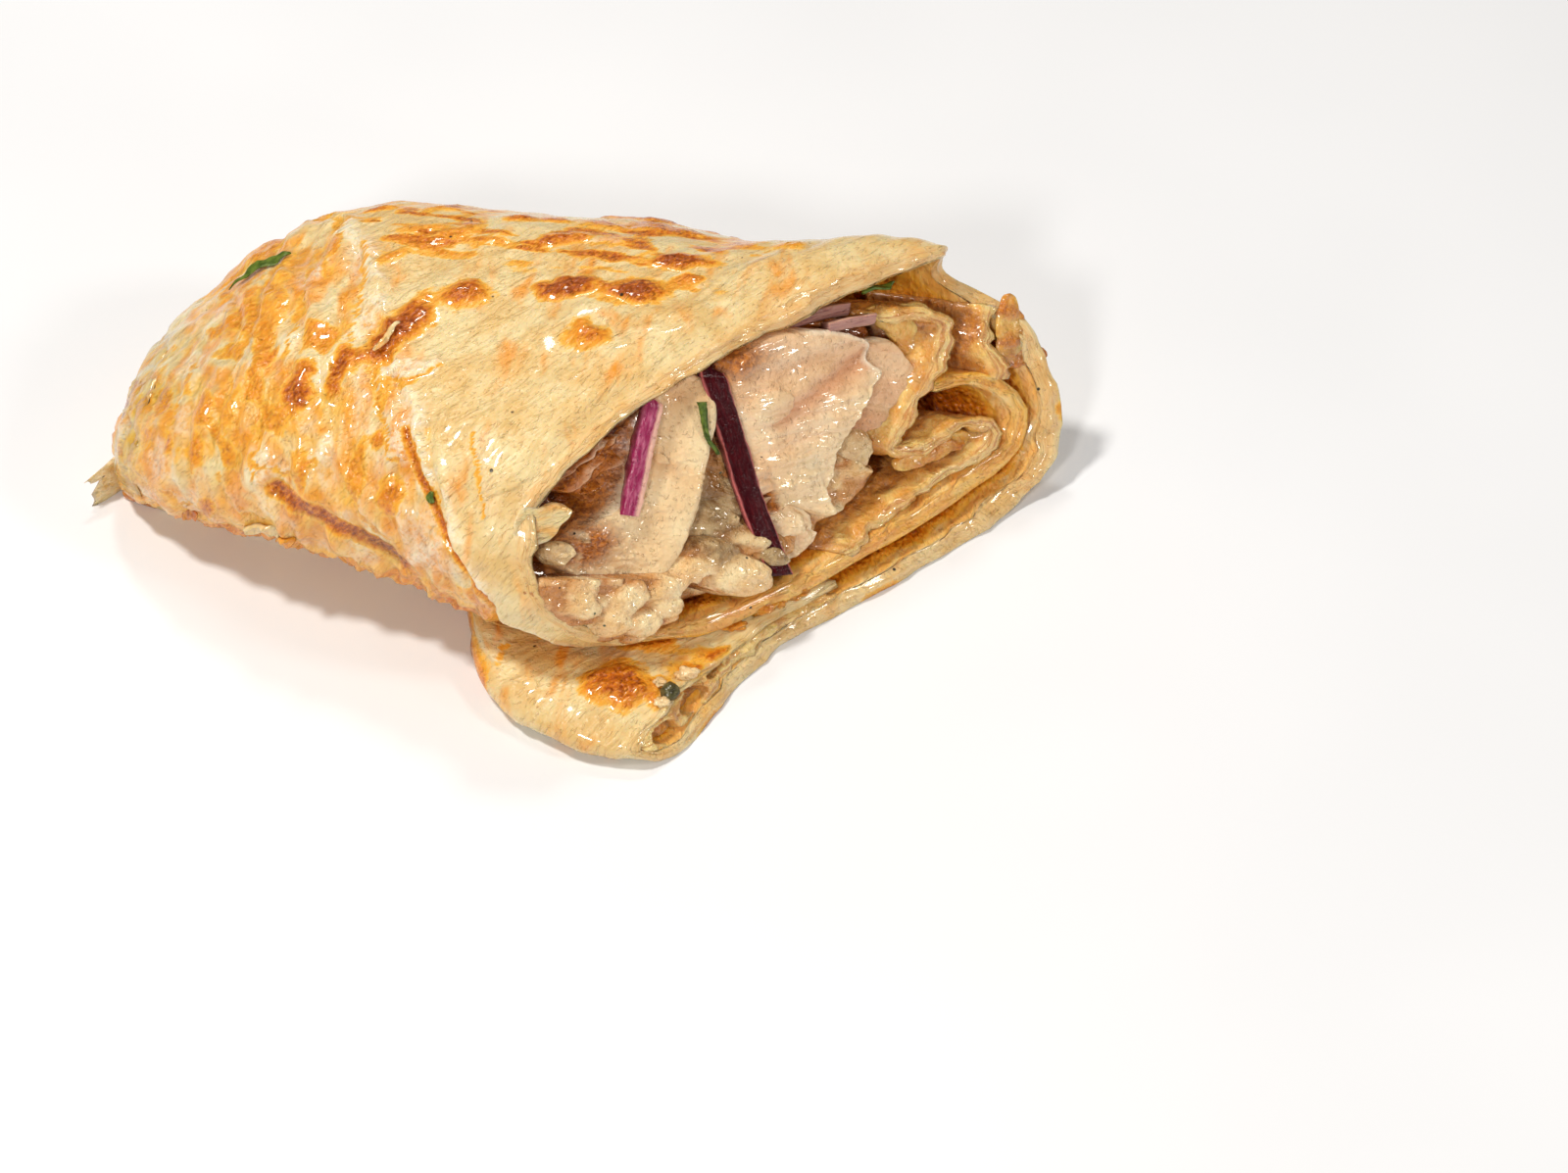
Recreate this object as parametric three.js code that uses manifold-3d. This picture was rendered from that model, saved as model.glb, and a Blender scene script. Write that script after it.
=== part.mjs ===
// Half a kathi roll: a flaky flatbread folded round chicken, onion and a creamy sauce, cut on the slant.
// Millimetres, +Z up. It lies on its floor ply with its closed tail at low x and its cut mouth at high x.
import * as THREE from 'three';
import { mergeVertices } from 'three/addons/utils/BufferGeometryUtils.js';
import Module from 'manifold-3d';

// ---- driving dimensions ----
const HALF_WIDTH = 38; // of the roll's body at the mouth
const HEIGHT = 46; // of the body at the mouth
const TAIL_X = -5; // the closed end
const MIDDLE = [70.3, -4.5, 0]; // the middle of the footprint, which becomes the origin
const GAP = 0.35; // kept between two pieces that touch

// The cut: x = CUT_X + CUT_SLANT y + CUT_LEAN z. The top leans back and the near side is cut shorter.
const CUT_X = 123.5;
const CUT_SLANT = 0.85;
const CUT_LEAN = -0.68;
const LIP_REACH = 38; // how far behind the cut the top ply starts to lift
const NOTCH_DEPTH = 8.5; // a torn notch under the lifted ply
const NOTCH_WIDTH = 1.3;

// The near fold under the tube: it grows from FLAP_START to its full width at FLAP_FULL.
const FLAP_KNEE = -20;
const FLAP_FOLD = -43.5;
const FLAP_START = 61;
const FLAP_FULL = 93;
const FLAP_LEAST = 0.3;
const FLAP_SHALLOW = 0.36; // how much lower the fold lies where it is narrow
const FLAP_TRIM_FROM = -18; // nearer than this the fold is cut less slanted
const FLAP_TRIM = 0.45;
const FLAP_TRIM_MOST = 11;

// The outermost layer ends at a slanted seam, and the bread is thinner behind it.
const SEAM_STEP = 0.8;
const SEAM_X = 26;
const SEAM_SLOPE = 7.5; // further along for each path row down the near side
const SEAM_BLEND = 4;

const SHEET_ROWS = 20; // rows of faces along the bread
const PLEAT_FROM = 62;
const SHARD_FROM = 112;
const PLUG_ROWS = 6; // the tail is pinched shut along this many of them
const FILLING_FROM = 28;

// The body along its length: x, half width, height, middle in y.
const STATIONS = [
  [-5, 4.5, 9, 2.4],
  [-3, 11, 16.5, 2.4],
  [0, 15.5, 20.5, 3],
  [8, 22.3, 28, 4.8],
  [17, 27.2, 35, 5.8],
  [28, 30.4, 40.4, 5.8],
  [46, 33.3, 43.4, 4.5],
  [70, HALF_WIDTH, HEIGHT, 0.8],
  [95, HALF_WIDTH, HEIGHT, -0.5],
  [150, HALF_WIDTH, HEIGHT, -0.5],
];

// The bread's path through the mouth section, from its inner end round to the end of the near fold:
// y, z, thickness, and how far the cut edge stands off in y and z.
const INNER_PATH = [
  [22.5, 23.9, 1.4, 0, 0],
  [26.6, 22.9, 2, 0, 0],
  [29.4, 19.6, 2.4, 0, 0],
  [29.7, 14.6, 2.6, 0, 0],
  [26.8, 10.2, 2.6, 0, 0],
  [19, 8, 2.6, 0, 0],
  [8, 7.2, 2.6, 0, 0],
  [-8, 7.2, 2.6, 0, 0],
  [-22, 8.2, 2.6, 0, 0],
];
const FRONT_PATH = [
  [-31.8, 12.2, 2.6, 0, 0],
  [-37, 19.5, 2.7, 0, 0],
  [-37, 28, 2.8, 0, 0],
  [-31, 36.2, 2.8, 0, 0],
];
const TOP_PATH = [
  [-20, 41.6, 2.8, 0, 0],
  [-4, 44.2, 2.8, 0, 0],
  [12, 43.8, 3.6, 0, 0.5],
  [25.5, 41.2, 4.2, 1, 2.5],
  [34, 36.5, 2.6, 3.2, 3.6],
];
const BACK_PATH = [
  [36.8, 28.5, 3, 0.6, 0.6],
  [36, 19, 3.4, 0, 0],
  [32.6, 10.6, 3.6, 0, 0],
  [26, 4.4, 3.6, 0, 0],
];
const FLOOR_PATH = [
  [16, 1.7, 3.6, 0, 0],
  [0, 1.5, 3.2, 0, 0],
  [-18, 1.3, 2.8, 0, 0],
  [-34, 1.2, 2.6, 0, 0],
  [-43.5, 1.1, 2.4, 0, 0],
];
const FLAP_PATH = [
  [-46.8, 3.4, 1.9, 0, 0],
  [-43.5, 5.7, 2, 0, 0],
  [-36, 6.5, 2.2, 0, 0],
  [-26, 5.2, 2, 0, 0],
  [-14, 4.6, 1.8, 0, 0],
  [-5, 4.4, 1.4, 0, 0],
];
// A torn inner layer, crumpled against the back wall, and a shard standing behind it.
const PLEAT_PATH = [
  [-2, 8.3, 1.4, 0, 0],
  [3, 9, 1.6, 0, 0],
  [9, 9.9, 1.9, 0, 0],
  [16, 10.7, 2, 0, 0],
  [22.2, 11.6, 2, 0, 0],
  [24.9, 14.2, 2, 0, 0],
  [21.8, 17, 1.9, 0, 0],
  [15.5, 16.5, 1.8, 0, 0],
  [13, 18.2, 1.8, 0, 0],
  [15.5, 20.6, 2, 0, 0],
  [21.5, 25, 2, 0, 0],
  [27.2, 29.6, 2, 0, 0],
  [28.8, 32.4, 2, 0, 0],
  [26.6, 35.3, 1.8, 0, 0],
  [23.4, 36.4, 1.4, 0, 0],
];
const SHARD_PATH = [
  [29.9, 20.6, 1.4, 0, 0],
  [32, 24.8, 1.8, 0, 0],
  [34.4, 28, 1.5, 0, 0],
  [35.8, 30.6, 1.2, 0, 0],
];

// The room inside the bread that the filling takes: an outline in y and z.
const FILLING_OUTLINE = [
  [-3.5, 10.1],
  [-21, 10.4],
  [-30, 14.8],
  [-34.6, 20.6],
  [-34.6, 27.4],
  [-29.3, 34.3],
  [-19.3, 39.2],
  [-4.2, 41.8],
  [8, 41.3],
  [15.4, 40],
  [21, 37.2],
  [24.4, 33],
  [21.5, 28.2],
  [13.4, 22],
  [10.6, 18.2],
  [11.5, 14.4],
  [9, 12.1],
  [2, 11.1],
];
// How far the filling's face lies behind the cut: y, z, radius, depth. A negative depth bulges out.
const FILLING_DEPTH = 3.5;
const FILLING_DENTS = [
  [-19, 35, 8, 11],
  [-30, 24, 6, 2],
  [-26, 13, 9, -3.5],
  [-9, 14, 7, -3],
  [15, 32, 9, 5],
];

// Chunks of chicken, each by its outline on the cut in y and z, how far its face lies behind the cut,
// how much it is domed and how deep it goes.
const CHICKEN = {
  chicken_large: {
    outline: [
      [2.6, 40.8],
      [9.5, 40.6],
      [14.6, 38.4],
      [19.2, 34.8],
      [18.6, 29.6],
      [15.5, 27],
      [10.6, 24.7],
      [5.7, 20.4],
      [2.6, 17.8],
      [0.7, 14.3],
      [-2.7, 11.8],
      [-5.8, 10.4],
      [-8, 11.4],
      [-7.1, 19.7],
      [-3.2, 30.4],
      [-0.2, 38.8],
    ],
    sink: 0.6,
    dome: 1.2,
    depth: 26,
  },
  chicken_left: {
    outline: [
      [-6.7, 40.8],
      [-0.8, 40.9],
      [-2.7, 35.4],
      [-5.7, 28],
      [-10.9, 24.1],
      [-17.1, 18.9],
      [-23.4, 18.1],
      [-29.3, 22.4],
      [-30.2, 26.4],
      [-25.7, 27.9],
      [-19.7, 28.4],
      [-13.5, 33.4],
    ],
    sink: 2.2,
    dome: 2,
    depth: 22,
  },
  chicken_side: {
    outline: [
      [19.4, 34.6],
      [22.2, 32],
      [22.8, 29],
      [19.2, 25.4],
      [14.2, 23.2],
      [9.6, 20.4],
      [6, 21.6],
      [10, 26],
      [14, 30],
    ],
    sink: 2,
    dome: 0.8,
    depth: 16,
  },
  chicken_shred: {
    outline: [
      [-18.4, 36.1],
      [-13.6, 36.4],
      [-10.4, 35.2],
      [-14.1, 31.2],
      [-18.8, 30.7],
      [-22, 32.1],
      [-22.4, 34.6],
    ],
    sink: 6,
    dome: 1.4,
    depth: 14,
  },
};

// Strips of onion and a blade of herb: the path on the cut in y and z, how far behind the cut it lies,
// its width across the face and its depth.
const STRIPS = {
  onion_purple: {
    path: [
      [0.4, 41.2],
      [-2.4, 36],
      [-4.9, 29.2],
      [-7.3, 21.8],
      [-9.2, 15.4],
      [-10.6, 11.2],
    ],
    sink: -1.4,
    width: 3.3,
    depth: 4,
  },
  onion_pink: {
    path: [
      [-9.2, 41],
      [-13.2, 37.3],
      [-17.3, 32.7],
      [-20.7, 28.7],
    ],
    sink: 0.5,
    width: 2.6,
    depth: 3,
  },
  onion_pale_long: {
    path: [
      [13.6, 40.6],
      [18, 39.9],
      [22, 38.5],
    ],
    sink: 5,
    width: 1.5,
    depth: 6,
  },
  onion_pale_short: {
    path: [
      [15.6, 39.6],
      [18.2, 38.8],
      [21.4, 37.6],
    ],
    sink: 0.2,
    width: 1.4,
    depth: 4,
  },
  herb_blade: {
    path: [
      [-4.6, 39],
      [-6, 35.6],
      [-7.2, 32.4],
    ],
    sink: -0.2,
    width: 0.9,
    depth: 0.8,
  },
};

// Small flakes that lie on the bread: place along the path in rows, x, length, width and turn.
const FLAKE = { row: 15.22, x: 16.6, length: 7.2, width: 2.6, turn: 0.95, thick: 0.5, wave: 0.35 };

// ---- smooth interpolation ----
const clamp = (value, low, high) => Math.min(Math.max(value, low), high);
const ease = (value) => {
  const t = clamp(value, 0, 1);
  return t * t * (3 - 2 * t);
};

function spanOf(knots, at) {
  let span = 0;
  while (span < knots.length - 2 && knots[span + 1] <= at) span += 1;
  return span;
}

// A cubic through rows of numbers, each given at its knot.
function spline(knots, rows, at) {
  const last = knots.length - 1;
  const slope = (i, column) => {
    const before = Math.max(i - 1, 0);
    const after = Math.min(i + 1, last);
    const left = i > 0 ? (rows[i][column] - rows[before][column]) / (knots[i] - knots[before]) : 0;
    const right = i < last ? (rows[after][column] - rows[i][column]) / (knots[after] - knots[i]) : 0;
    if (i === 0) return right;
    if (i === last) return left;
    const span = knots[after] - knots[before];
    return (left * (knots[after] - knots[i]) + right * (knots[i] - knots[before])) / span;
  };
  const i = spanOf(knots, at);
  const h = knots[i + 1] - knots[i];
  const t = (at - knots[i]) / h;
  return rows[0].map((_, column) => {
    const start = (2 * t ** 3 - 3 * t ** 2 + 1) * rows[i][column];
    const leave = (t ** 3 - 2 * t ** 2 + t) * h * slope(i, column);
    const end = (3 * t ** 2 - 2 * t ** 3) * rows[i + 1][column];
    const arrive = (t ** 3 - t ** 2) * h * slope(i + 1, column);
    return start + leave + end + arrive;
  });
}

const STATION_X = STATIONS.map((row) => row[0]);

function bodyAt(x) {
  const [, half, height, middle] = spline(STATION_X, STATIONS, x);
  return { wide: half / HALF_WIDTH, tall: height / HEIGHT, middle };
}

const cutX = (y, z) => CUT_X + CUT_SLANT * y + CUT_LEAN * z;

// ---- meshes from rings of points ----
function outwardGeometry(points, triangles) {
  const positions = points.flatMap((p) => [p.x, p.y, p.z]);
  let volume = 0;
  for (const [a, b, c] of triangles) {
    volume += points[a].dot(new THREE.Vector3().crossVectors(points[b], points[c]));
  }
  const facing = volume > 0 ? triangles : triangles.map(([a, b, c]) => [a, c, b]);
  const geometry = new THREE.BufferGeometry();
  geometry.setAttribute('position', new THREE.Float32BufferAttribute(positions, 3));
  geometry.setIndex(facing.flat());
  return geometry;
}

// Rings of equal length joined by a wall. Each end is closed by a strip across its ring, for a flat
// ring that runs out along one face of a sheet and back along the other, or by a fan to its centre.
function ringGeometry(rings, endsAreStrips) {
  const count = rings[0].length;
  const points = rings.flat().map((p) => p.clone());
  const triangles = [];
  for (let r = 0; r + 1 < rings.length; r += 1) {
    for (let i = 0; i < count; i += 1) {
      const next = (i + 1) % count;
      const [a, b, c, d] = [r * count + i, r * count + next, (r + 1) * count + next, (r + 1) * count + i];
      triangles.push([a, b, c], [a, c, d]);
    }
  }
  for (const [r, flip] of [[0, true], [rings.length - 1, false]]) {
    const first = r * count;
    const cap = [];
    if (endsAreStrips) {
      for (let i = 0; i < count / 2 - 1; i += 1) {
        const [a, b, c, d] = [first + i, first + i + 1, first + count - 2 - i, first + count - 1 - i];
        cap.push([a, b, c], [a, c, d]);
      }
    } else {
      const centre = new THREE.Vector3();
      for (const p of rings[r]) centre.addScaledVector(p, 1 / count);
      points.push(centre);
      for (let i = 0; i < count; i += 1) cap.push([first + i, first + ((i + 1) % count), points.length - 1]);
    }
    triangles.push(...cap.map(([a, b, c]) => (flip ? [a, c, b] : [a, b, c])));
  }
  return outwardGeometry(points, triangles);
}

// ---- joining and cutting ----
const wasm = await Module();
wasm.setup();

function solidOf(geometry) {
  const bare = geometry.clone();
  bare.deleteAttribute('normal');
  bare.deleteAttribute('uv');
  const merged = mergeVertices(bare, 1e-5);
  const vertProperties = new Float32Array(merged.attributes.position.array);
  const triVerts = new Uint32Array(merged.index.array);
  return new wasm.Manifold(new wasm.Mesh({ numProp: 3, vertProperties, triVerts }));
}

function geometryOf(solid) {
  const mesh = solid.getMesh();
  const geometry = new THREE.BufferGeometry();
  geometry.setAttribute('position', new THREE.Float32BufferAttribute(mesh.vertProperties, 3));
  geometry.setIndex([...mesh.triVerts]);
  return geometry;
}

// ---- the bread ----
class Sheet {
  constructor(path, from, marks = {}) {
    this.path = path;
    this.from = from;
    this.knots = [0];
    for (let i = 1; i < path.length; i += 1) {
      const step = Math.hypot(path[i][0] - path[i - 1][0], path[i][1] - path[i - 1][1]);
      this.knots.push(this.knots[i - 1] + Math.sqrt(step));
    }
    this.flapFrom = marks.flapRow === undefined ? Infinity : this.knotAt(marks.flapRow);
    this.notchAt = marks.notchRow === undefined ? -Infinity : this.knotAt(marks.notchRow);
    this.seamed = marks.seamed ?? false;
  }

  knotAt(row) {
    const i = Math.min(Math.floor(row), this.knots.length - 2);
    return this.knots[i] + (row - i) * (this.knots[i + 1] - this.knots[i]);
  }

  rowAt(knot) {
    const i = spanOf(this.knots, knot);
    return i + (knot - this.knots[i]) / (this.knots[i + 1] - this.knots[i]);
  }

  cut(knot, y, z) {
    let x = cutX(y, z);
    if (knot > this.flapFrom) x += clamp((FLAP_TRIM_FROM - y) * FLAP_TRIM, 0, FLAP_TRIM_MOST);
    return x - NOTCH_DEPTH * Math.exp(-(((knot - this.notchAt) / NOTCH_WIDTH) ** 2));
  }

  middle(knot, x) {
    const [pathY, pathZ, pathThick, lipY, lipZ] = spline(this.knots, this.path, knot);
    const { wide, tall, middle } = bodyAt(x);
    const lip = ease(1 - (cutX(pathY, pathZ) - x) / LIP_REACH);
    let y = pathY + lip * lipY;
    let low = 1;
    if (knot > this.flapFrom && y < FLAP_KNEE) {
      const t = clamp((x - FLAP_START) / (FLAP_FULL - FLAP_START), 0, 1);
      const reach = FLAP_LEAST + (1 - FLAP_LEAST) * Math.sqrt(1 - (1 - t) ** 2);
      const run = Math.max(y, FLAP_FOLD);
      y = FLAP_KNEE + (run - FLAP_KNEE) * reach + (y - run);
      low = 1 - FLAP_SHALLOW * (1 - reach);
    }
    const z = (pathZ + lip * lipZ) * low;
    return { y: middle + y * wide, z: z * tall, thick: pathThick * tall * low, tall };
  }

  // A point on the outer (side 1) or the inner (side -1) face.
  point(knot, x, side, lift = 0) {
    const nudge = 1e-3;
    const here = this.middle(knot, x);
    const after = this.middle(Math.min(knot + nudge, this.knots.at(-1)), x);
    const before = this.middle(Math.max(knot - nudge, 0), x);
    const along = Math.hypot(after.y - before.y, after.z - before.z);
    let off = here.thick / 2 + lift;
    if (this.seamed && side > 0) off -= this.seamDrop(knot, x) * here.tall;
    const y = here.y - ((after.z - before.z) / along) * off * side;
    const z = here.z + ((after.y - before.y) / along) * off * side;
    return new THREE.Vector3(x, y, Math.max(z, 0));
  }

  seamDrop(knot, x) {
    const row = this.rowAt(knot);
    const shown = ease((row - 8.5) / 1.5) * ease(18 - row);
    const seam = SEAM_X + SEAM_SLOPE * (16 - row);
    return SEAM_STEP * shown * (1 - ease((x - seam) / SEAM_BLEND));
  }

  endX(knot, side) {
    let x = CUT_X;
    for (let pass = 0; pass < 8; pass += 1) {
      const p = this.point(knot, x, side);
      x = this.cut(knot, p.y, p.z);
    }
    return x;
  }

  knotsBetween(firstRow, lastRow, perSpan) {
    const steps = (lastRow - firstRow) * perSpan;
    return Array.from({ length: steps + 1 }, (_, i) => this.knotAt(firstRow + i / perSpan));
  }

  // The first rings of an outline of [knot, side] pairs that is carried from the closed end to the cut.
  // Rings are closer at both ends, where the shape turns most.
  rings(outline, rows, count = rows) {
    const ends = outline.map(([knot, side]) => this.endX(knot, side));
    return Array.from({ length: count + 1 }, (_, ring) => {
      const along = (1 - Math.cos((Math.PI * ring) / rows)) / 2;
      return outline.map(([knot, side], i) => {
        const x = this.from + (ends[i] - this.from) * along;
        return this.point(knot, x, side);
      });
    });
  }

  geometry(rows, perSpan) {
    const knots = this.knotsBetween(0, this.path.length - 1, perSpan);
    const outline = [...knots.map((knot) => [knot, 1]), ...knots.toReversed().map((knot) => [knot, -1])];
    return ringGeometry(this.rings(outline, rows), true);
  }
}

const WRAP_PATH = [...INNER_PATH, ...FRONT_PATH, ...TOP_PATH, ...BACK_PATH, ...FLOOR_PATH, ...FLAP_PATH];
const FRONT_ROW = INNER_PATH.length;
const BACK_ROW = FRONT_ROW + FRONT_PATH.length + TOP_PATH.length;
const FLOOR_ROW = BACK_ROW + BACK_PATH.length;
const wrapSheet = new Sheet(WRAP_PATH, TAIL_X, {
  flapRow: FLOOR_ROW + 1,
  notchRow: BACK_ROW - 0.5,
  seamed: true,
});
const pleatSheet = new Sheet(PLEAT_PATH, PLEAT_FROM);
const shardSheet = new Sheet(SHARD_PATH, SHARD_FROM);

// An outline of the mouth section, scaled to the body at x.
function sectionRing(outline, x) {
  const { wide, tall, middle } = bodyAt(x);
  return outline.map(([y, z]) => new THREE.Vector3(x, middle + y * wide, z * tall));
}

// The tail's plug follows the middle of the bread's own thickness round the tube, so the two join fully.
function plugGeometry() {
  const outline = wrapSheet.knotsBetween(FRONT_ROW, FLOOR_ROW + 2, 2).map((knot) => [knot, 0]);
  return ringGeometry(wrapSheet.rings(outline, SHEET_ROWS, PLUG_ROWS), false);
}

// A thin wavy flake, half sunk in the outer face of the bread.
function flakeGeometry({ row, x, length, width, turn, thick, wave }) {
  const sides = 12;
  const knot = wrapSheet.knotAt(row);
  const knotPerMm = 1 / wrapSheet.point(knot, x, 1).distanceTo(wrapSheet.point(knot + 1, x, 1));
  const ring = (size, lift) => {
    const points = [];
    for (let i = 0; i < sides; i += 1) {
      const angle = (2 * Math.PI * i) / sides;
      const long = (Math.cos(angle) * length * size) / 2;
      const across = (Math.sin(angle) * width * size) / 2;
      const alongX = long * Math.cos(turn) - across * Math.sin(turn);
      const around = long * Math.sin(turn) + across * Math.cos(turn);
      const ripple = wave * Math.sin(2 * angle) * size;
      points.push(wrapSheet.point(knot + around * knotPerMm, x + alongX, 1, lift + ripple));
    }
    return points;
  };
  return ringGeometry([ring(1, -0.9), ring(1, thick * 0.6), ring(0.6, thick)], false);
}

function bread() {
  return solidOf(wrapSheet.geometry(SHEET_ROWS, 2))
    .add(solidOf(pleatSheet.geometry(6, 2)))
    .add(solidOf(shardSheet.geometry(2, 2)))
    .add(solidOf(plugGeometry()))
    .add(solidOf(flakeGeometry(FLAKE)));
}

// ---- the filling ----
function faceDepth(y, z) {
  let depth = FILLING_DEPTH;
  for (const [dentY, dentZ, radius, deep] of FILLING_DENTS) {
    depth += deep * Math.exp(-((y - dentY) ** 2 + (z - dentZ) ** 2) / radius ** 2);
  }
  return depth;
}

const middleOf = (outline) => [0, 1].map((k) => outline.reduce((sum, p) => sum + p[k], 0) / outline.length);

// The sauce and shreds as one mass: it runs from the tail to an uneven face just inside the mouth.
function fillingGeometry() {
  const steps = 7;
  const rings = [];
  const [centreY, centreZ] = middleOf(FILLING_OUTLINE);
  const middle = bodyAt(CUT_X).middle;
  const frontX = (y, z) => cutX(y + middle, z) - faceDepth(y, z);
  for (let i = 0; i <= steps; i += 1) {
    const along = (i / steps) ** 0.8;
    rings.push(FILLING_OUTLINE.map(([y, z]) => {
      const x = THREE.MathUtils.lerp(FILLING_FROM, frontX(y, z), along);
      return sectionRing([[y, z]], x)[0];
    }));
  }
  for (const size of [0.8, 0.6, 0.4, 0.2]) {
    rings.push(FILLING_OUTLINE.map(([outY, outZ]) => {
      const y = centreY + (outY - centreY) * size;
      const z = centreZ + (outZ - centreZ) * size;
      return sectionRing([[y, z]], frontX(y, z))[0];
    }));
  }
  return ringGeometry(rings, false);
}

// A chunk is an outline carried straight back into the tube, domed in front and rounded behind.
function chunkGeometry({ outline, sink, dome, depth }, grow) {
  const [centreY, centreZ] = middleOf(outline);
  const profile = [
    [0.35, dome + grow],
    [0.75, dome * 0.7 + grow],
    [1, -dome * 0.4],
    [1, -depth * 0.5],
    [0.8, -depth * 0.85 - grow],
    [0.35, -depth - grow],
  ];
  const rings = profile.map(([size, forward]) => outline.map(([outY, outZ]) => {
    const reach = Math.hypot(outY - centreY, outZ - centreZ);
    const scale = size * (1 + grow / reach);
    const y = centreY + (outY - centreY) * scale;
    const z = centreZ + (outZ - centreZ) * scale;
    return new THREE.Vector3(cutX(y, z) - sink + forward, y, z);
  }));
  return ringGeometry(rings, false);
}

// A strip is a rounded bar that follows its path across the face.
function stripGeometry({ path, sink, width, depth }, grow) {
  const sides = 8;
  const rings = path.map(([y, z], i) => {
    const [beforeY, beforeZ] = path[Math.max(i - 1, 0)];
    const [afterY, afterZ] = path[Math.min(i + 1, path.length - 1)];
    const run = Math.hypot(afterY - beforeY, afterZ - beforeZ);
    const [acrossY, acrossZ] = [-(afterZ - beforeZ) / run, (afterY - beforeY) / run];
    const taper = i === 0 || i === path.length - 1 ? 0.85 : 1;
    const points = [];
    for (let k = 0; k < sides; k += 1) {
      const angle = (2 * Math.PI * (k + 0.5)) / sides;
      const [out, back] = [Math.cos(angle), Math.sin(angle)];
      const across = (Math.sign(out) * Math.abs(out) ** 0.5 * (width * taper + 2 * grow)) / 2;
      const behind = (Math.sign(back) * Math.abs(back) ** 0.5 * (depth * taper + 2 * grow)) / 2 + depth / 2;
      const pointY = y + acrossY * across;
      const pointZ = z + acrossZ * across;
      points.push(new THREE.Vector3(cutX(pointY, pointZ) - sink - behind, pointY, pointZ));
    }
    return points;
  });
  return ringGeometry(rings, false);
}

// A small leaf under the lifted ply: thin, wavy, and the same on both faces.
const LEAF = { y: 25.6, z: 40.2, length: 4.2, width: 2.4, thick: 0.4, wave: 0.3, fall: 0.8, sink: 1 };

function leafGeometry({ y, z, length, width, thick, wave, fall, sink }) {
  const steps = 6;
  const rings = [];
  for (let i = 0; i <= steps; i += 1) {
    const along = i / steps;
    const half = (width / 2) * (0.25 + 0.75 * Math.sin(Math.PI * clamp(along, 0.08, 0.92)));
    const lift = wave * Math.sin(2 * Math.PI * along);
    const pointY = y + (along - 0.5) * length;
    const ring = [[-half, thick / 2], [half, thick / 2], [half, -thick / 2], [-half, -thick / 2]];
    rings.push(ring.map(([forward, up]) => {
      const pointZ = z + lift + up - (along - 0.5) * fall;
      return new THREE.Vector3(cutX(pointY, z) - sink - width / 2 + forward, pointY, pointZ);
    }));
  }
  return ringGeometry(rings, true);
}

// Pieces in the order in which they claim their room: each later one is cut back from the earlier ones.
function fillingPieces() {
  const made = {};
  const claimed = [];
  const place = (name, build) => {
    let solid = solidOf(build(0));
    for (const other of claimed) solid = solid.subtract(other);
    made[name] = solid;
    claimed.push(solidOf(build(GAP)));
  };
  for (const [name, strip] of Object.entries(STRIPS)) place(name, (grow) => stripGeometry(strip, grow));
  for (const [name, chunk] of Object.entries(CHICKEN)) place(name, (grow) => chunkGeometry(chunk, grow));
  let core = solidOf(fillingGeometry());
  for (const other of claimed) core = core.subtract(other);
  made.filling = core;
  made.herb_leaf = solidOf(leafGeometry(LEAF));
  return made;
}

// ---- materials ----
const MATERIALS = {
  bread: { color: 0xd8b478, roughness: 0.5 },
  sauce: { color: 0xdcc6a0, roughness: 0.35 },
  chicken: { color: 0xdcc0ac, roughness: 0.4 },
  purpleOnion: { color: 0x5a1230, roughness: 0.3 },
  pinkOnion: { color: 0xb45a86, roughness: 0.35 },
  paleOnion: { color: 0xb89a98, roughness: 0.4 },
  herb: { color: 0x4d7a24, roughness: 0.5 },
};

const FINISH = {
  wrap: 'bread',
  filling: 'sauce',
  chicken_large: 'chicken',
  chicken_left: 'chicken',
  chicken_side: 'chicken',
  chicken_shred: 'chicken',
  onion_purple: 'purpleOnion',
  onion_pink: 'pinkOnion',
  onion_pale_long: 'paleOnion',
  onion_pale_short: 'paleOnion',
  herb_blade: 'herb',
  herb_leaf: 'herb',
};

const kathiRoll = new THREE.Group();
kathiRoll.position.set(-MIDDLE[0], -MIDDLE[1], -MIDDLE[2]);
for (const [name, solid] of Object.entries({ wrap: bread(), ...fillingPieces() })) {
  const material = new THREE.MeshStandardMaterial({ ...MATERIALS[FINISH[name]], metalness: 0 });
  const mesh = new THREE.Mesh(geometryOf(solid), material);
  mesh.name = name;
  kathiRoll.add(mesh);
}

export default kathiRoll;
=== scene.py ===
"""Half a kathi roll: toasted flaky bread folded round chicken, onion and creamy sauce.

Shapes are made in millimetres in the roll's own frame, as in the CAD: x along the roll from its closed
tail to its slanted cut, y across it and z up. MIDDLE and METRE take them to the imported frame.
"""

import math

import bmesh
import bpy
import numpy as np
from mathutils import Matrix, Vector


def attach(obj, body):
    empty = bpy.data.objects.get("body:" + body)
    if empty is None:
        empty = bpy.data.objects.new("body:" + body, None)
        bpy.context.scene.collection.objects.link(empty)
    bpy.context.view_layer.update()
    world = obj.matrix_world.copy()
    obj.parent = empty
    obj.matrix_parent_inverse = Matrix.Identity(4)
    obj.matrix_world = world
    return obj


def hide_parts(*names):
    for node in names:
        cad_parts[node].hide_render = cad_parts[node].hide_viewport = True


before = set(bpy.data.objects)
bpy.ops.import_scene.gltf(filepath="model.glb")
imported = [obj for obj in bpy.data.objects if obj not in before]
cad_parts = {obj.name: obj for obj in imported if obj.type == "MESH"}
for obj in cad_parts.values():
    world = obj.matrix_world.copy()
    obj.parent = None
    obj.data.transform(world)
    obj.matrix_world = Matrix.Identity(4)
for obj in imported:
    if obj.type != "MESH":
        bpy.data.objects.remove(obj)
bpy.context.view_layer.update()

METRE = 0.001
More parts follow.
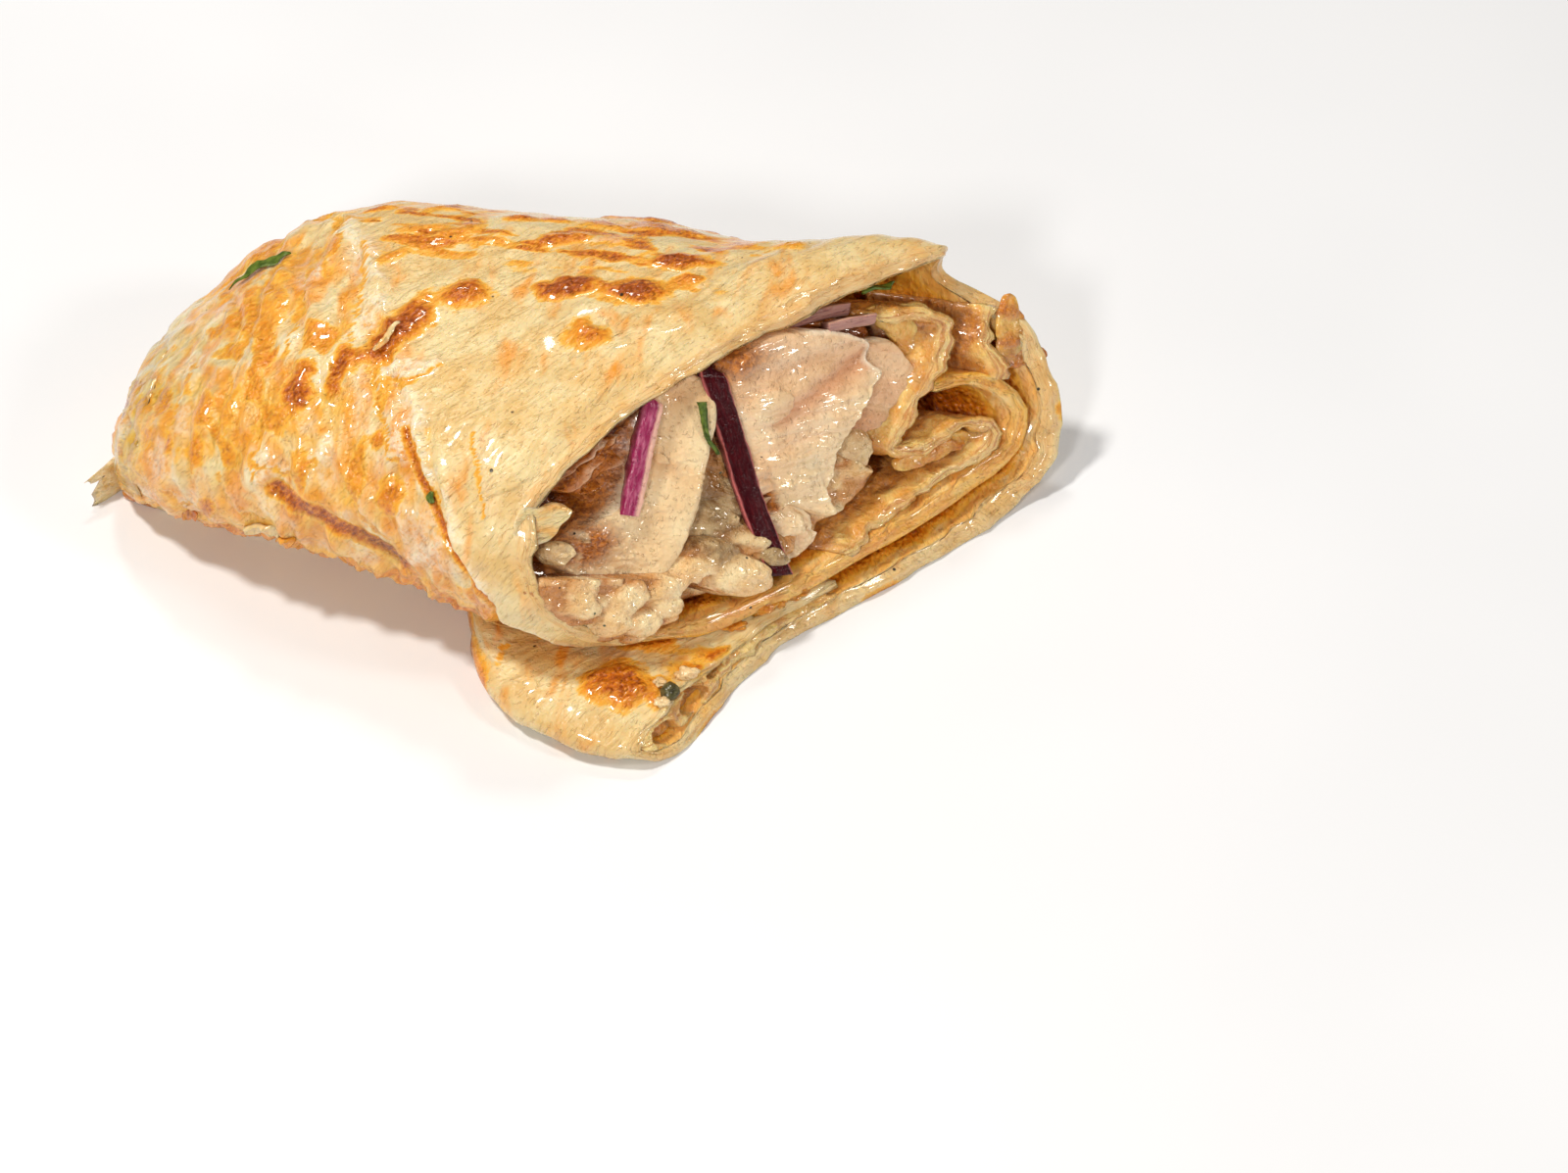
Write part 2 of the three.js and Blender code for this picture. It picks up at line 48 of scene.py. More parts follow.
MIDDLE = np.array([70.3, -4.5, 0.0])

# ---- driving dimensions, as in the CAD ----
HALF_WIDTH = 38.0
HEIGHT = 46.0
TAIL_X = -5.0
CUT_X, CUT_SLANT, CUT_LEAN = 123.5, 0.85, -0.68
CUT_NORMAL = np.array([1.0, -CUT_SLANT, -CUT_LEAN]) / math.hypot(1.0, CUT_SLANT, CUT_LEAN)
LIP_REACH = 38.0
NOTCH_DEPTH, NOTCH_WIDTH = 8.5, 1.3
FLAP_KNEE, FLAP_FOLD = -20.0, -43.5
FLAP_START, FLAP_FULL = 61.0, 93.0
FLAP_LEAST, FLAP_SHALLOW = 0.3, 0.36
FLAP_TRIM_FROM, FLAP_TRIM, FLAP_TRIM_MOST = -18.0, 0.45, 11.0
SEAM_X, SEAM_SLOPE = 26.0, 7.5
PLEAT_FROM, SHARD_FROM, FILLING_FROM = 62.0, 112.0, 28.0

# The body along its length: x, half width, height, middle in y.
STATIONS = np.array([
    (-5, 4.5, 9, 2.4), (-3, 11, 16.5, 2.4), (0, 15.5, 20.5, 3), (8, 22.3, 28, 4.8), (17, 27.2, 35, 5.8),
    (28, 30.4, 40.4, 5.8), (46, 33.3, 43.4, 4.5), (70, HALF_WIDTH, HEIGHT, 0.8),
    (95, HALF_WIDTH, HEIGHT, -0.5), (150, HALF_WIDTH, HEIGHT, -0.5),
], float)

# The bread's path through the mouth section: y, z and thickness, then how far its lip stands off in y and z.
INNER_PATH = [
    (22.5, 23.9, 1.4), (26.6, 22.9, 2), (29.4, 19.6, 2.4), (29.7, 14.6, 2.6), (26.8, 10.2, 2.6),
    (19, 8, 2.6), (8, 7.2, 2.6), (-8, 7.2, 2.6), (-22, 8.2, 2.6),
]
FRONT_PATH = [
    (-31.8, 12.2, 2.6), (-37, 19.5, 2.7), (-37, 28, 2.8), (-31, 36.2, 2.8),
]
TOP_PATH = [
    (-20, 41.6, 2.8), (-4, 44.2, 2.8), (12, 43.8, 3.6, 0, 0.5), (25.5, 41.2, 4.2, 1, 2.5),
    (34, 36.5, 2.6, 3.2, 3.6),
]
BACK_PATH = [
    (36.8, 28.5, 3, 0.6, 0.6), (36, 19, 3.4), (32.6, 10.6, 3.6), (26, 4.4, 3.6),
]
FLOOR_PATH = [
    (16, 1.7, 3.6), (0, 1.5, 3.2), (-18, 1.3, 2.8), (-34, 1.2, 2.6), (-43.5, 1.1, 2.4),
]
FLAP_PATH = [
    (-46.8, 3.4, 1.9), (-43.5, 5.7, 2), (-36, 6.5, 2.2), (-26, 5.2, 2), (-14, 4.6, 1.8), (-5, 4.4, 1.4),
]
PLEAT_PATH = [
    (-2, 8.3, 1.4), (3, 9, 1.6), (9, 9.9, 1.9), (16, 10.7, 2), (22.2, 11.6, 2), (24.9, 14.2, 2),
    (21.8, 17, 1.9), (15.5, 16.5, 1.8), (13, 18.2, 1.8), (15.5, 20.6, 2), (21.5, 25, 2), (27.2, 29.6, 2),
    (28.8, 32.4, 2), (26.6, 35.3, 1.8), (23.4, 36.4, 1.4),
]
SHARD_PATH = [
    (29.9, 20.6, 1.4), (32, 24.8, 1.8), (34.4, 28, 1.5), (35.8, 30.6, 1.2),
]
FRONT_ROW = len(INNER_PATH)
TOP_ROW = FRONT_ROW + len(FRONT_PATH)
BACK_ROW = TOP_ROW + len(TOP_PATH)
FLOOR_ROW = BACK_ROW + len(BACK_PATH)
FLAP_ROW = FLOOR_ROW + len(FLOOR_PATH)
LAST_ROW = FLAP_ROW + len(FLAP_PATH) - 1

FILLING_OUTLINE = [
    (-3.5, 10.1), (-21, 10.4), (-30, 14.8), (-34.6, 20.6), (-34.6, 27.4), (-29.3, 34.3), (-19.3, 39.2),
    (-4.2, 41.8), (8, 41.3), (15.4, 40), (21, 37.2), (24.4, 33), (21.5, 28.2), (13.4, 22), (10.6, 18.2),
    (11.5, 14.4), (9, 12.1), (2, 11.1),
]
FILLING_DEPTH = 3.5


# ---- numbers ----
def unit(value):
    return np.clip(value, 0, 1)


def ease(value):
    """From 0 to 1 with a soft start and end."""
    t = unit(value)
    return t * t * (3 - 2 * t)


def span(value, low, rise, high, fall):
    """1 between low and high, with a soft start and end."""
    return ease((value - low) / rise) * ease((high - value) / fall)


def hill(value, middle, width):
    """A smooth hill that is 1 at its middle."""
    return np.exp(-(((value - middle) / width) ** 2))


def round_hill(y, z, middle_y, middle_z, wide, tall):
    return hill(y, middle_y, wide) * hill(z, middle_z, tall)


def turned(along, across, degrees):
    c, s = math.cos(math.radians(degrees)), math.sin(math.radians(degrees))
    return along * c + across * s, -along * s + across * c


def reach_to(along, across, length, width, degrees):
    """How far out points lie in a turned oval: 0 at its middle and 1 at its edge."""
    u, v = turned(along, across, degrees)
    return np.hypot(u / (length / 2), v / (width / 2))


def spline(knots, rows, at):
    """A smooth curve through rows of numbers, each given at its knot."""
    i = np.clip(np.searchsorted(knots, at, side="right") - 1, 0, len(knots) - 2)
    slope = np.gradient(rows, knots, axis=0)
    step = (knots[i + 1] - knots[i])[..., None]
    t = (at - knots[i])[..., None] / step
    start = (2 * t**3 - 3 * t**2 + 1) * rows[i] + (t**3 - 2 * t**2 + t) * step * slope[i]
    end = (3 * t**2 - 2 * t**3) * rows[i + 1] + (t**3 - t**2) * step * slope[i + 1]
    return start + end


def hashed(ix, iy, iz, seed):
    """A number from -1 to 1 for each whole grid point."""
    n = ix * 73856093 ^ iy * 19349663 ^ iz * 83492791 ^ (seed * 15485863 + 7919)
    n = (n ^ (n >> 13)) & 0x7FFFFFFF
    n = (n * 1274126177) & 0x7FFFFFFF
    n = ((n ^ (n >> 15)) * 2246822519) & 0x7FFFFFFF
    return ((n ^ (n >> 12)) & 0xFFFFF) / 0x7FFFF - 1.0


def noise(points, size, seed=0):
    """Smooth noise from about -1 to 1, with features of this size, which is one number or three."""
    turned = points @ np.array([[0.80, 0.36, -0.48], [-0.60, 0.48, -0.64], [0.0, 0.80, 0.60]])
    grid = (turned if np.isscalar(size) else points) / size
    cell = np.floor(grid).astype(np.int64)
    t = grid - cell
    t = t**3 * (t * (t * 6 - 15) + 10)
    total = 0.0
    for corner in range(8):
        dx, dy, dz = corner & 1, corner >> 1 & 1, corner >> 2 & 1
        weight = (
            (t[..., 0] if dx else 1 - t[..., 0])
            * (t[..., 1] if dy else 1 - t[..., 1])
            * (t[..., 2] if dz else 1 - t[..., 2])
        )
        total = total + weight * hashed(cell[..., 0] + dx, cell[..., 1] + dy, cell[..., 2] + dz, seed)
    return total


def rough(points, size, octaves=3, seed=0, fade=0.5):
    """Noise at several sizes together."""
    total = 0.0
    for octave in range(octaves):
        total = total + fade**octave * noise(points, np.multiply(size, 0.5**octave), seed + 17 * octave)
    return total


def creased(value, soft=0.22):
    """The distance from zero, with a rounded valley."""
    return np.sqrt(value * value + soft * soft) - soft


def stack(*columns):
    return np.stack(np.broadcast_arrays(*columns), axis=-1)


def rough_flat(flat, *settings):
    """Noise over points that are given by two numbers."""
    return rough(stack(flat[:, 0], flat[:, 1], 0.0), *settings)


def run_along(points):
    """How far along a line of points each one is."""
    return np.concatenate([[0], np.cumsum(np.hypot(*np.diff(points, axis=0).T))])


def directions(vectors):
    return vectors / (np.linalg.norm(vectors, axis=-1, keepdims=True) + 1e-9)


def cut_x(y, z):
    return CUT_X + CUT_SLANT * y + CUT_LEAN * z


def body_at(x):
    half, height, middle = np.moveaxis(spline(STATIONS[:, 0], STATIONS[:, 1:], x), -1, 0)
    return half / HALF_WIDTH, height / HEIGHT, middle


# ---- the bread as a sheet ----
FIRST_GUESS, SEARCH_ROUNDS = 110.0, 8  # where the search for the cut starts, as x, and how often it repeats
FINE_STEPS = 600


class Sheet:
    """A sheet of bread that follows a path through the section, from a start in x to the cut."""

    def __init__(self, path, start, flap_row=None, notch_row=None, ragged=0.35, seed=0):
        self.path = np.array([(*row, 0, 0)[:5] for row in path], float)
        self.start = start
        step = np.hypot(*np.diff(self.path[:, :2], axis=0).T)
        self.knots = np.concatenate([[0], np.cumsum(np.sqrt(step))])
        self.run = np.concatenate([[0], np.cumsum(step)])
        self.flap_from = np.inf if flap_row is None else self.knot_at(flap_row)
        self.notch_at = -np.inf if notch_row is None else self.knot_at(notch_row)
        self.ragged = ragged
        self.seed = seed

    def knot_at(self, row):
        return np.interp(row, np.arange(len(self.knots)), self.knots)

    def row_at(self, knot):
        return np.interp(knot, self.knots, np.arange(len(self.knots)))

    def run_at(self, knot):
        return np.interp(knot, self.knots, self.run)

    def cut(self, knot, y, z):
        trim = np.clip((FLAP_TRIM_FROM - y) * FLAP_TRIM, 0, FLAP_TRIM_MOST)
        notch = NOTCH_DEPTH * hill(knot, self.notch_at, NOTCH_WIDTH)
        return cut_x(y, z) + np.where(knot > self.flap_from, trim, 0) - notch

    def middle(self, knot, x):
        row = spline(self.knots, self.path, knot)
        wide, tall, middle = body_at(x)
        lip = ease(1 - (cut_x(row[..., 0], row[..., 1]) - x) / LIP_REACH)
        y = row[..., 0] + lip * row[..., 3]
        z = row[..., 1] + lip * row[..., 4]
        t = unit((x - FLAP_START) / (FLAP_FULL - FLAP_START))
        reach = FLAP_LEAST + (1 - FLAP_LEAST) * np.sqrt(1 - (1 - t) ** 2)
        folded = (knot > self.flap_from) & (y < FLAP_KNEE)
        straight = np.maximum(y, FLAP_FOLD)
        y = np.where(folded, FLAP_KNEE + (straight - FLAP_KNEE) * reach + (y - straight), y)
        low = np.where(folded, 1 - FLAP_SHALLOW * (1 - reach), 1.0)
        return middle + y * wide, z * low * tall, row[..., 2] * tall * low

    def points(self, knot, x, side):
        """Points on the outer (side 1) or inner (side -1) face, or between the two."""
        nudge = 1e-3
        y, z, thick = self.middle(knot, x)
        after_y, after_z, _ = self.middle(np.clip(knot + nudge, 0, self.knots[-1]), x)
        before_y, before_z, _ = self.middle(np.clip(knot - nudge, 0, self.knots[-1]), x)
        run_y, run_z = after_y - before_y, after_z - before_z
        length = np.hypot(run_y, run_z) + 1e-9
        off = side * thick / 2
        return stack(x, y - run_z / length * off, np.maximum(z + run_y / length * off, 0.0))

    def ends(self, knot, side):
        """Where the torn cut edge lies, as x."""
        x = np.full(np.shape(knot), FIRST_GUESS)
        for _ in range(SEARCH_ROUNDS):
            at = self.points(knot, x, side)
            x = self.cut(knot, at[..., 1], at[..., 2])
        run = self.run_at(knot)
        tear = rough(stack(run, 0.0, 4.0 * side), (2.8, 1.0, 1.0), 3, self.seed + 5, 0.6)
        wave = rough(stack(run, 0.0, 0.0), (9.0, 1.0, 1.0), 2, self.seed + 6)
        return x + self.ragged * (tear * np.where(side > 0, 0.8, 1.7) + 1.6 * wave)

    def spread(self, spans):
        """Knots along the path, from spans of first row, last row and step in mm."""
        knots = []
        for first, last, step in spans:
            fine = np.linspace(self.knot_at(first), self.knot_at(last), FINE_STEPS)
            at = spline(self.knots, self.path, fine)
            run = run_along(at[:, :2])
            count = max(1, round(run[-1] / step))
            knots.append(np.interp(np.linspace(0, run[-1], count + 1)[:-1], run, fine))
        knots.append([self.knot_at(spans[-1][1])])
        return np.concatenate(knots)


WRAP = Sheet(INNER_PATH + FRONT_PATH + TOP_PATH + BACK_PATH + FLOOR_PATH + FLAP_PATH, TAIL_X,
             flap_row=FLOOR_ROW + 1, notch_row=BACK_ROW - 0.5)
PLEAT = Sheet(PLEAT_PATH, PLEAT_FROM, ragged=0.5, seed=31)
SHARD = Sheet(SHARD_PATH, SHARD_FROM, ragged=0.6, seed=47)


# ---- meshes ----
def make_object(name, points, faces, looks, place):
    """An object from points in mm and faces. looks are four numbers a point, place three."""
    mesh = bpy.data.meshes.new(name)
    mesh.from_pydata(((points - MIDDLE) * METRE).tolist(), [], faces)
    mesh.validate()
    layer = mesh.attributes.new("looks", "FLOAT_COLOR", "POINT")
    layer.data.foreach_set("color", np.asarray(looks, np.float32).ravel())
    layer = mesh.attributes.new("place", "FLOAT_VECTOR", "POINT")
    layer.data.foreach_set("vector", np.asarray(place, np.float32).ravel())
    work = bmesh.new()
    work.from_mesh(mesh)
    bmesh.ops.recalc_face_normals(work, faces=work.faces)
    work.to_mesh(mesh)
    work.free()
    mesh.polygons.foreach_set("use_smooth", [True] * len(mesh.polygons))
    made = bpy.data.objects.new(name, mesh)
    bpy.context.scene.collection.objects.link(made)
    return made


def add_piece(name, piece, material, slot, *nodes):
    """A finished piece of the roll, which takes the place of the solids named in nodes."""
    made = make_object(name, *piece)
    made.data.materials.append(material)
    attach(made, "root")
    if nodes:
        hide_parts(*nodes)


def ring_faces(rows, count):
    """Four-sided faces between closed rings of points."""
    first, here = np.meshgrid(np.arange(rows - 1) * count, np.arange(count), indexing="ij")
    after = (here + 1) % count
    faces = np.stack([first + here, first + after, first + count + after, first + count + here], axis=-1)
    return faces.reshape(-1, 4).tolist()


def tube_faces(rows, count, reverse=False):
    """The faces of a tube of closed rings that is shut at both ends."""
    first, last = list(range(count)), list(range((rows - 1) * count, rows * count))
    ends = [first[::-1], last] if reverse else [first, last[::-1]]
    return ring_faces(rows, count) + ends


def zipper(first, first_at, second, second_at):
    """Triangles between two rows of indices, each given with where its points lie along the strip."""
    faces, i, j = [], 0, 0
    while i < len(first) - 1 or j < len(second) - 1:
        step_first = j == len(second) - 1 or (
            i < len(first) - 1 and first_at[i + 1] + first_at[i] <= second_at[j + 1] + second_at[j])
        if step_first:
            faces.append([first[i], first[i + 1], second[j]])
            i += 1
        else:
            faces.append([first[i], second[j + 1], second[j]])
            j += 1
    return faces


def ring_normals(points):
    """Directions at right angles to a closed tube of rings."""
    around = np.roll(points, -1, axis=1) - np.roll(points, 1, axis=1)
    along = np.gradient(points, axis=0)
    return directions(np.cross(around, along))


RIM = [0.9, 0.72, 0.5, 0.25, 0.0, -0.25, -0.5, -0.72]  # where the cut face's rows lie across the sheet
RIM_BULGE, RIM_BROWN, RIM_FADE = 0.45, 0.25, 1.5
LEAST_HEIGHT = 0.02  # the bread stays this far above the floor
TUCK_LIMIT, TUCK_SHARE, TUCK_FROM, TUCK_OVER = -7.0, 0.35, 62.0, 7.0


def tucked(points, row):
    """The near fold drawn in under the tail, where it doesn't show."""
    behind = ease((TUCK_FROM - points[..., 0]) / TUCK_OVER) * ease((row - 22.2) / 1.0)
    beyond = np.minimum(points[..., 1] - TUCK_LIMIT, 0.0)
    moved = points.copy()
    moved[..., 1] -= beyond * (1 - TUCK_SHARE) * behind
    return moved


def sheet_piece(sheet, outer_spans, inner_spans, along, relief, settle=None, rim_cut=np.ones_like):
    """A closed sheet with relief on its faces and a rounded cut edge.

    relief gives the lift in mm and the four looks of each point, settle moves the finished points, and
    rim_cut says how much of a cut face the edge is at each path row.
    """
    outer = sheet.spread(outer_spans)
    inner = sheet.spread(inner_spans)
    knots = np.concatenate([outer, inner[::-1]])
    side = np.concatenate([np.ones(len(outer)), -np.ones(len(inner))])
    ends = sheet.ends(knots, side)
    x = sheet.start + (ends - sheet.start) * along[:, None]
    knot_grid = np.broadcast_to(knots, x.shape)
    side_grid = np.broadcast_to(side, x.shape)
    base = sheet.points(knot_grid, x, side_grid)
    normal = ring_normals(base)
    probe = sheet.points(knot_grid, x, side_grid * 1.2) - base
    facing = np.sign(np.sum(normal[len(along) // 2] * probe[len(along) // 2], axis=-1).mean())
    normal = normal * facing
    from_cut = ends - x
    lift, looks = relief(sheet, knot_grid, x, side_grid, base, from_cut)
    points = base + normal * lift[..., None]
    if settle is not None:
        points = settle(points, sheet.row_at(knot_grid))
    points[..., 2] = np.maximum(points[..., 2], LEAST_HEIGHT)
    rows, columns = x.shape
    place = stack(sheet.run_at(knot_grid), x, side_grid)

    last = points[-1]
    outer_end, inner_end = last[:len(outer)], last[len(outer):][::-1]
    far = np.stack([np.interp(outer, inner, inner_end[:, k]) for k in range(3)], axis=-1)
    rim_points, rim_looks, rim_place = [], [], []
    run = sheet.run_at(outer)
    ends_fade = span(run, run[0], RIM_FADE, run[-1], RIM_FADE)
    for share in RIM:
        row = outer_end * (1 + share) / 2 + far * (1 - share) / 2
        grain = rough(stack(run, share * 1.2, 0.0), (3.2, 0.8, 1.0), 3, 71)
        bulge = (RIM_BULGE + 0.35 * grain) * (1 - share**2) * ends_fade
        rim_points.append(row + CUT_NORMAL * bulge[:, None])
        edge = looks[-1, :len(outer)].copy()
        edge[:, 0] *= RIM_BROWN + (1 - RIM_BROWN) * max(share, 0) ** 2
        edge[:, 2] = edge[:, 2] + (rim_cut(sheet.row_at(outer)) - edge[:, 2]) * (1 - share**2) ** 0.5
        rim_looks.append(edge)
        rim_place.append(stack(run, x[-1, :len(outer)], share))
    all_points = np.concatenate([points.reshape(-1, 3)] + rim_points)
    all_looks = np.concatenate([looks.reshape(-1, 4)] + rim_looks)
    all_place = np.concatenate([place.reshape(-1, 3)] + rim_place)

    faces = ring_faces(rows, columns)
    start_outer = np.arange(len(outer))
    start_inner = columns - 1 - np.arange(len(inner))
    faces += zipper(start_outer.tolist(), outer, start_inner.tolist(), inner)
    end_outer = (rows - 1) * columns + start_outer
    end_inner = (rows - 1) * columns + start_inner
    rim_first = rows * columns
    joined = [end_outer] + [rim_first + k * len(outer) + start_outer for k in range(len(RIM))]
    for before, after in zip(joined, joined[1:]):
        faces += np.stack([before[:-1], before[1:], after[1:], after[:-1]], axis=-1).tolist()
    faces += zipper(joined[-1].tolist(), outer, end_inner.tolist(), inner)
    for end in (0, -1):
        for before, after in zip(joined, joined[1:]):
            faces.append([int(end_inner[end]), int(before[end]), int(after[end])])
    return all_points, faces, all_looks, all_place


def same_looks(looks, points):
    """One set of looks for all the points."""
    return np.tile(np.array(looks, float), (len(points), 1))


def join(*pieces):
    """Several (points, faces, looks, place) as one."""
    points, faces, looks, place, first = [], [], [], [], 0
    for p, f, l, q in pieces:
        faces += [[first + i for i in face] for face in f]
        first += len(p)
        points.append(p)
        looks.append(l)
        place.append(q)
    return np.concatenate(points), faces, np.concatenate(looks), np.concatenate(place)


# ---- what the bread's outside shows ----
# Toasted places: path row, x, length, width, turn in degrees from the roll's length, darkness, rise in mm.
TOASTED = [
    (12.75, 31, 9.5, 4.4, 88, 0.84, 0.35), (13.2, 37, 9.0, 2.8, 80, 0.84, 0.35),
    (13.78, 44.4, 17, 5.0, 62, 1.0, 0.7), (14.45, 53, 8, 5, 35, 0.8, 0.6),
    (14.77, 69.2, 9.5, 4.6, 22, 1.0, 0.8), (14.87, 79.3, 10.5, 4.8, 14, 1.0, 0.7),
    (15.5, 84.4, 10.5, 3.6, 12, 0.95, 0.5), (15.25, 88, 4, 1.5, 10, 0.8, 0.3),
    (14.17, 74.9, 6.2, 5.6, 0, 0.66, 1.0), (16.0, 57, 5, 3, 12, 0.85, 0.4),
    (15.6, 64.5, 8.5, 3, 28, 0.85, 0.5), (16.1, 62.5, 6, 2.4, 10, 0.7, 0.4),
    (16.2, 70, 9, 4.5, 8, 0.5, 0.5), (16.4, 80, 12, 4.5, 6, 0.68, 0.5), (17.1, 76, 17, 4.6, 2, 0.92, 0.6),
    (17.3, 90, 15, 4.2, -2, 0.95, 0.5), (16.1, 101, 5, 3, 5, 0.45, 0.5), (15.5, 48, 8, 4, 40, 0.55, 0.5),
    (16.3, 44, 9, 4, 30, 0.5, 0.5), (12.36, 19.7, 9, 3, 84, 0.42, 0.3), (13.9, 18, 5, 2.4, 80, 0.45, 0.3),
    (13.3, 24.5, 5, 1.6, 75, 0.62, 0.3), (11.7, 14.5, 5.5, 3, 80, 0.55, 0.35),
    (11.9, 9.5, 3, 1.8, 85, 0.6, 0.3), (10.3, 17, 4, 3, 60, 0.7, 0.4), (11.5, 49, 6.5, 4, 70, 0.62, 0.45),
    (11.9, 43, 7, 1.8, 80, 0.5, 0.25), (12.3, 46, 3.6, 1.8, 75, 0.62, 0.25),
    (16.3, 9, 9, 4, 30, 0.5, 0.4), (16.3, 16, 12, 4, 12, 0.55, 0.4), (16.4, 24, 8, 3, 5, 0.4, 0.3),
    (17.0, 34, 14, 6, 5, 0.55, 0.4), (16.05, 33, 7, 2, 8, 0.5, 0.3), (15.55, 43, 9, 2.2, 20, 0.5, 0.3),
    (14.9, 39.5, 6, 2.4, 50, 0.5, 0.3), (15.9, 9, 7, 4, 30, 0.5, 0.3),
    (28.9, 88.6, 12, 8.5, 20, 0.85, 0.9), (29.6, 99, 7, 4, 8, 0.95, 0.5), (29.9, 75, 8, 4, 40, 0.75, 0.3),
    (29.6, 66, 6, 3.5, 60, 0.6, 0.3), (29.9, 90, 10, 4, 15, 0.65, 0.3), (30.1, 106, 16, 5, 10, 0.9, 0.5),
    (30.1, 122, 14, 5, 10, 0.85, 0.5),
    # the sides that are turned away
    (19.0, 52, 14, 6, 10, 0.85, 0.6), (19.6, 78, 11, 5, -20, 0.9, 0.6), (18.8, 103, 13, 5, 8, 0.8, 0.5),
    (20.5, 34, 10, 5, 35, 0.6, 0.5), (20.6, 94, 8, 5, 20, 0.6, 0.5), (19.9, 120, 12, 4, 5, 0.7, 0.4),
    (20.8, 66, 12, 4, 5, 0.75, 0.4), (19.2, 20, 8, 4, 50, 0.6, 0.4),
]
# Creases, painted dark inside as shade: rows and x of points along them, width, depth and darkness.
CREASES = [
    ([(11.1, 29.5), (10.85, 35), (10.6, 41), (10.35, 46), (10.15, 51)], 2.1, -0.8, 0.85),
    ([(12.5, 50.5), (12.0, 53.5), (11.4, 58.5), (10.9, 62.5), (10.3, 68)], 1.0, -0.9, 0.82),
    ([(12.6, 54), (12.2, 55.5), (11.75, 58)], 1.2, -0.9, 0.2),
    ([(29.7, 93), (29.2, 95), (28.8, 98)], 0.7, -0.4, 0.45),
    ([(28.9, 66), (28.4, 67), (27.9, 71)], 0.9, -0.5, 0.1),
]

# Torn edges of layers: rows and x of points along them, with the raised layer on the left going along;
# then how high it stands, how far it falls away and how white its edge is.
TORN = [
    ([(11.7, 24.4), (11.56, 26.3), (11.44, 30.6), (11.56, 33.9), (11.85, 37)], 0.9, 5.0, 1.0),
    ([(13.0, 41.5), (13.1, 45.5), (13.15, 49.5), (13.5, 54.5)], 0.7, 5.0, 0.9),
    ([(13.3, 41.4), (12.9, 44.2), (12.5, 46.8), (11.9, 50.6)], 0.8, 3.0, 0.7),
    ([(12.5, 51.4), (12.0, 54.6), (11.4, 59.6), (10.9, 63.8), (10.3, 69)], 0.8, 3.5, 0.5),
    ([(15.4, 33.5), (14.4, 36.2), (13.6, 37.2)], 0.6, 4.0, 0.8),
    ([(13.8, 10.5), (13.0, 9.0), (12.2, 9.2)], 0.6, 4.0, 0.4),
    ([(14.8, 20.5), (13.9, 18.8), (13.0, 18.2), (12.4, 18.6)], 0.6, 4.0, 0.5),
    ([(12.6, 26.6), (12.0, 25.4), (11.2, 25.8)], 0.6, 3.0, 0.5),
    ([(15.2, 26), (14.2, 26.4), (13.2, 27.6)], 0.5, 4.0, 0.5),
    ([(11.0, 19.5), (10.4, 24.0), (10.2, 28.5)], 0.6, 3.0, 0.5),
    ([(10.9, 8.0), (10.3, 12.5), (10.1, 16.5)], 0.6, 3.0, 0.4),
    ([(11.6, 40.5), (10.9, 46.5), (10.6, 51.0)], 0.6, 3.0, 0.5),
    ([(12.9, 61), (12.3, 63.8), (11.6, 66.2)], 0.35, 3.0, 0.5),
    ([(15.6, 47), (15.3, 52), (15.4, 58)], 0.4, 4.0, 0.6),
    ([(15.8, 66), (15.6, 71), (15.75, 77)], 0.35, 4.0, 0.5),
    ([(27.9, 66.5), (28.4, 67.4), (29.0, 68.5)], 0.6, 3.0, 0.6),
]

# Puffy white places: path row, x, length, width and turn in degrees.
WHITE = [
    (13.75, 38.4, 10, 3.6, 76), (13.3, 48.0, 10, 3.0, 20), (12.45, 50.5, 11, 5.0, 72),
    (11.9, 37.0, 7, 2.4, 70), (11.5, 27.0, 6, 3.0, 80), (14.8, 28.0, 7, 2.6, 80),
    (10.7, 55.0, 10, 2.6, 50), (13.2, 22.0, 5, 2.0, 80),
]


def white_marks(sheet, x, run, tall, base):
    """How white and puffy each point is."""
    wobble = rough(base, 2.4, 3, 17)
    white = np.zeros_like(x)
    for row, mark_x, length, width, turn in WHITE:
        across = (run - sheet.run_at(sheet.knot_at(row))) * tall
        reach = reach_to(x - mark_x, across, length, width, turn) + 0.4 * wobble
        white = np.maximum(white, ease((1.3 - reach) / 0.7))
    return white


def along_stops(stops, sheet, x, run, tall):
    """How far points are from a line of stops, the same with the side as its sign, and the share passed."""
    stops = np.array(stops, float)
    stop_x, stop_run = stops[:, 1], sheet.run_at(sheet.knot_at(stops[:, 0]))
    lengths = np.hypot(np.diff(stop_x), np.diff(stop_run))
    nearest = signed = np.full(x.shape, np.inf)
    along = np.zeros_like(x)
    for k, length in enumerate(lengths):
        edge_x, edge_run = stop_x[k + 1] - stop_x[k], stop_run[k + 1] - stop_run[k]
        to_x, to_run = x - stop_x[k], (run - stop_run[k]) * tall
        share = unit((to_x * edge_x + to_run * edge_run) / length**2)
        gap = np.hypot(to_x - share * edge_x, to_run - share * edge_run)
        nearer = gap < nearest
        nearest = np.where(nearer, gap, nearest)
        signed = np.where(nearer, gap * np.sign(edge_x * to_run - edge_run * to_x), signed)
        along = np.where(nearer, (lengths[:k].sum() + share * length) / lengths.sum(), along)
    return nearest, signed, along


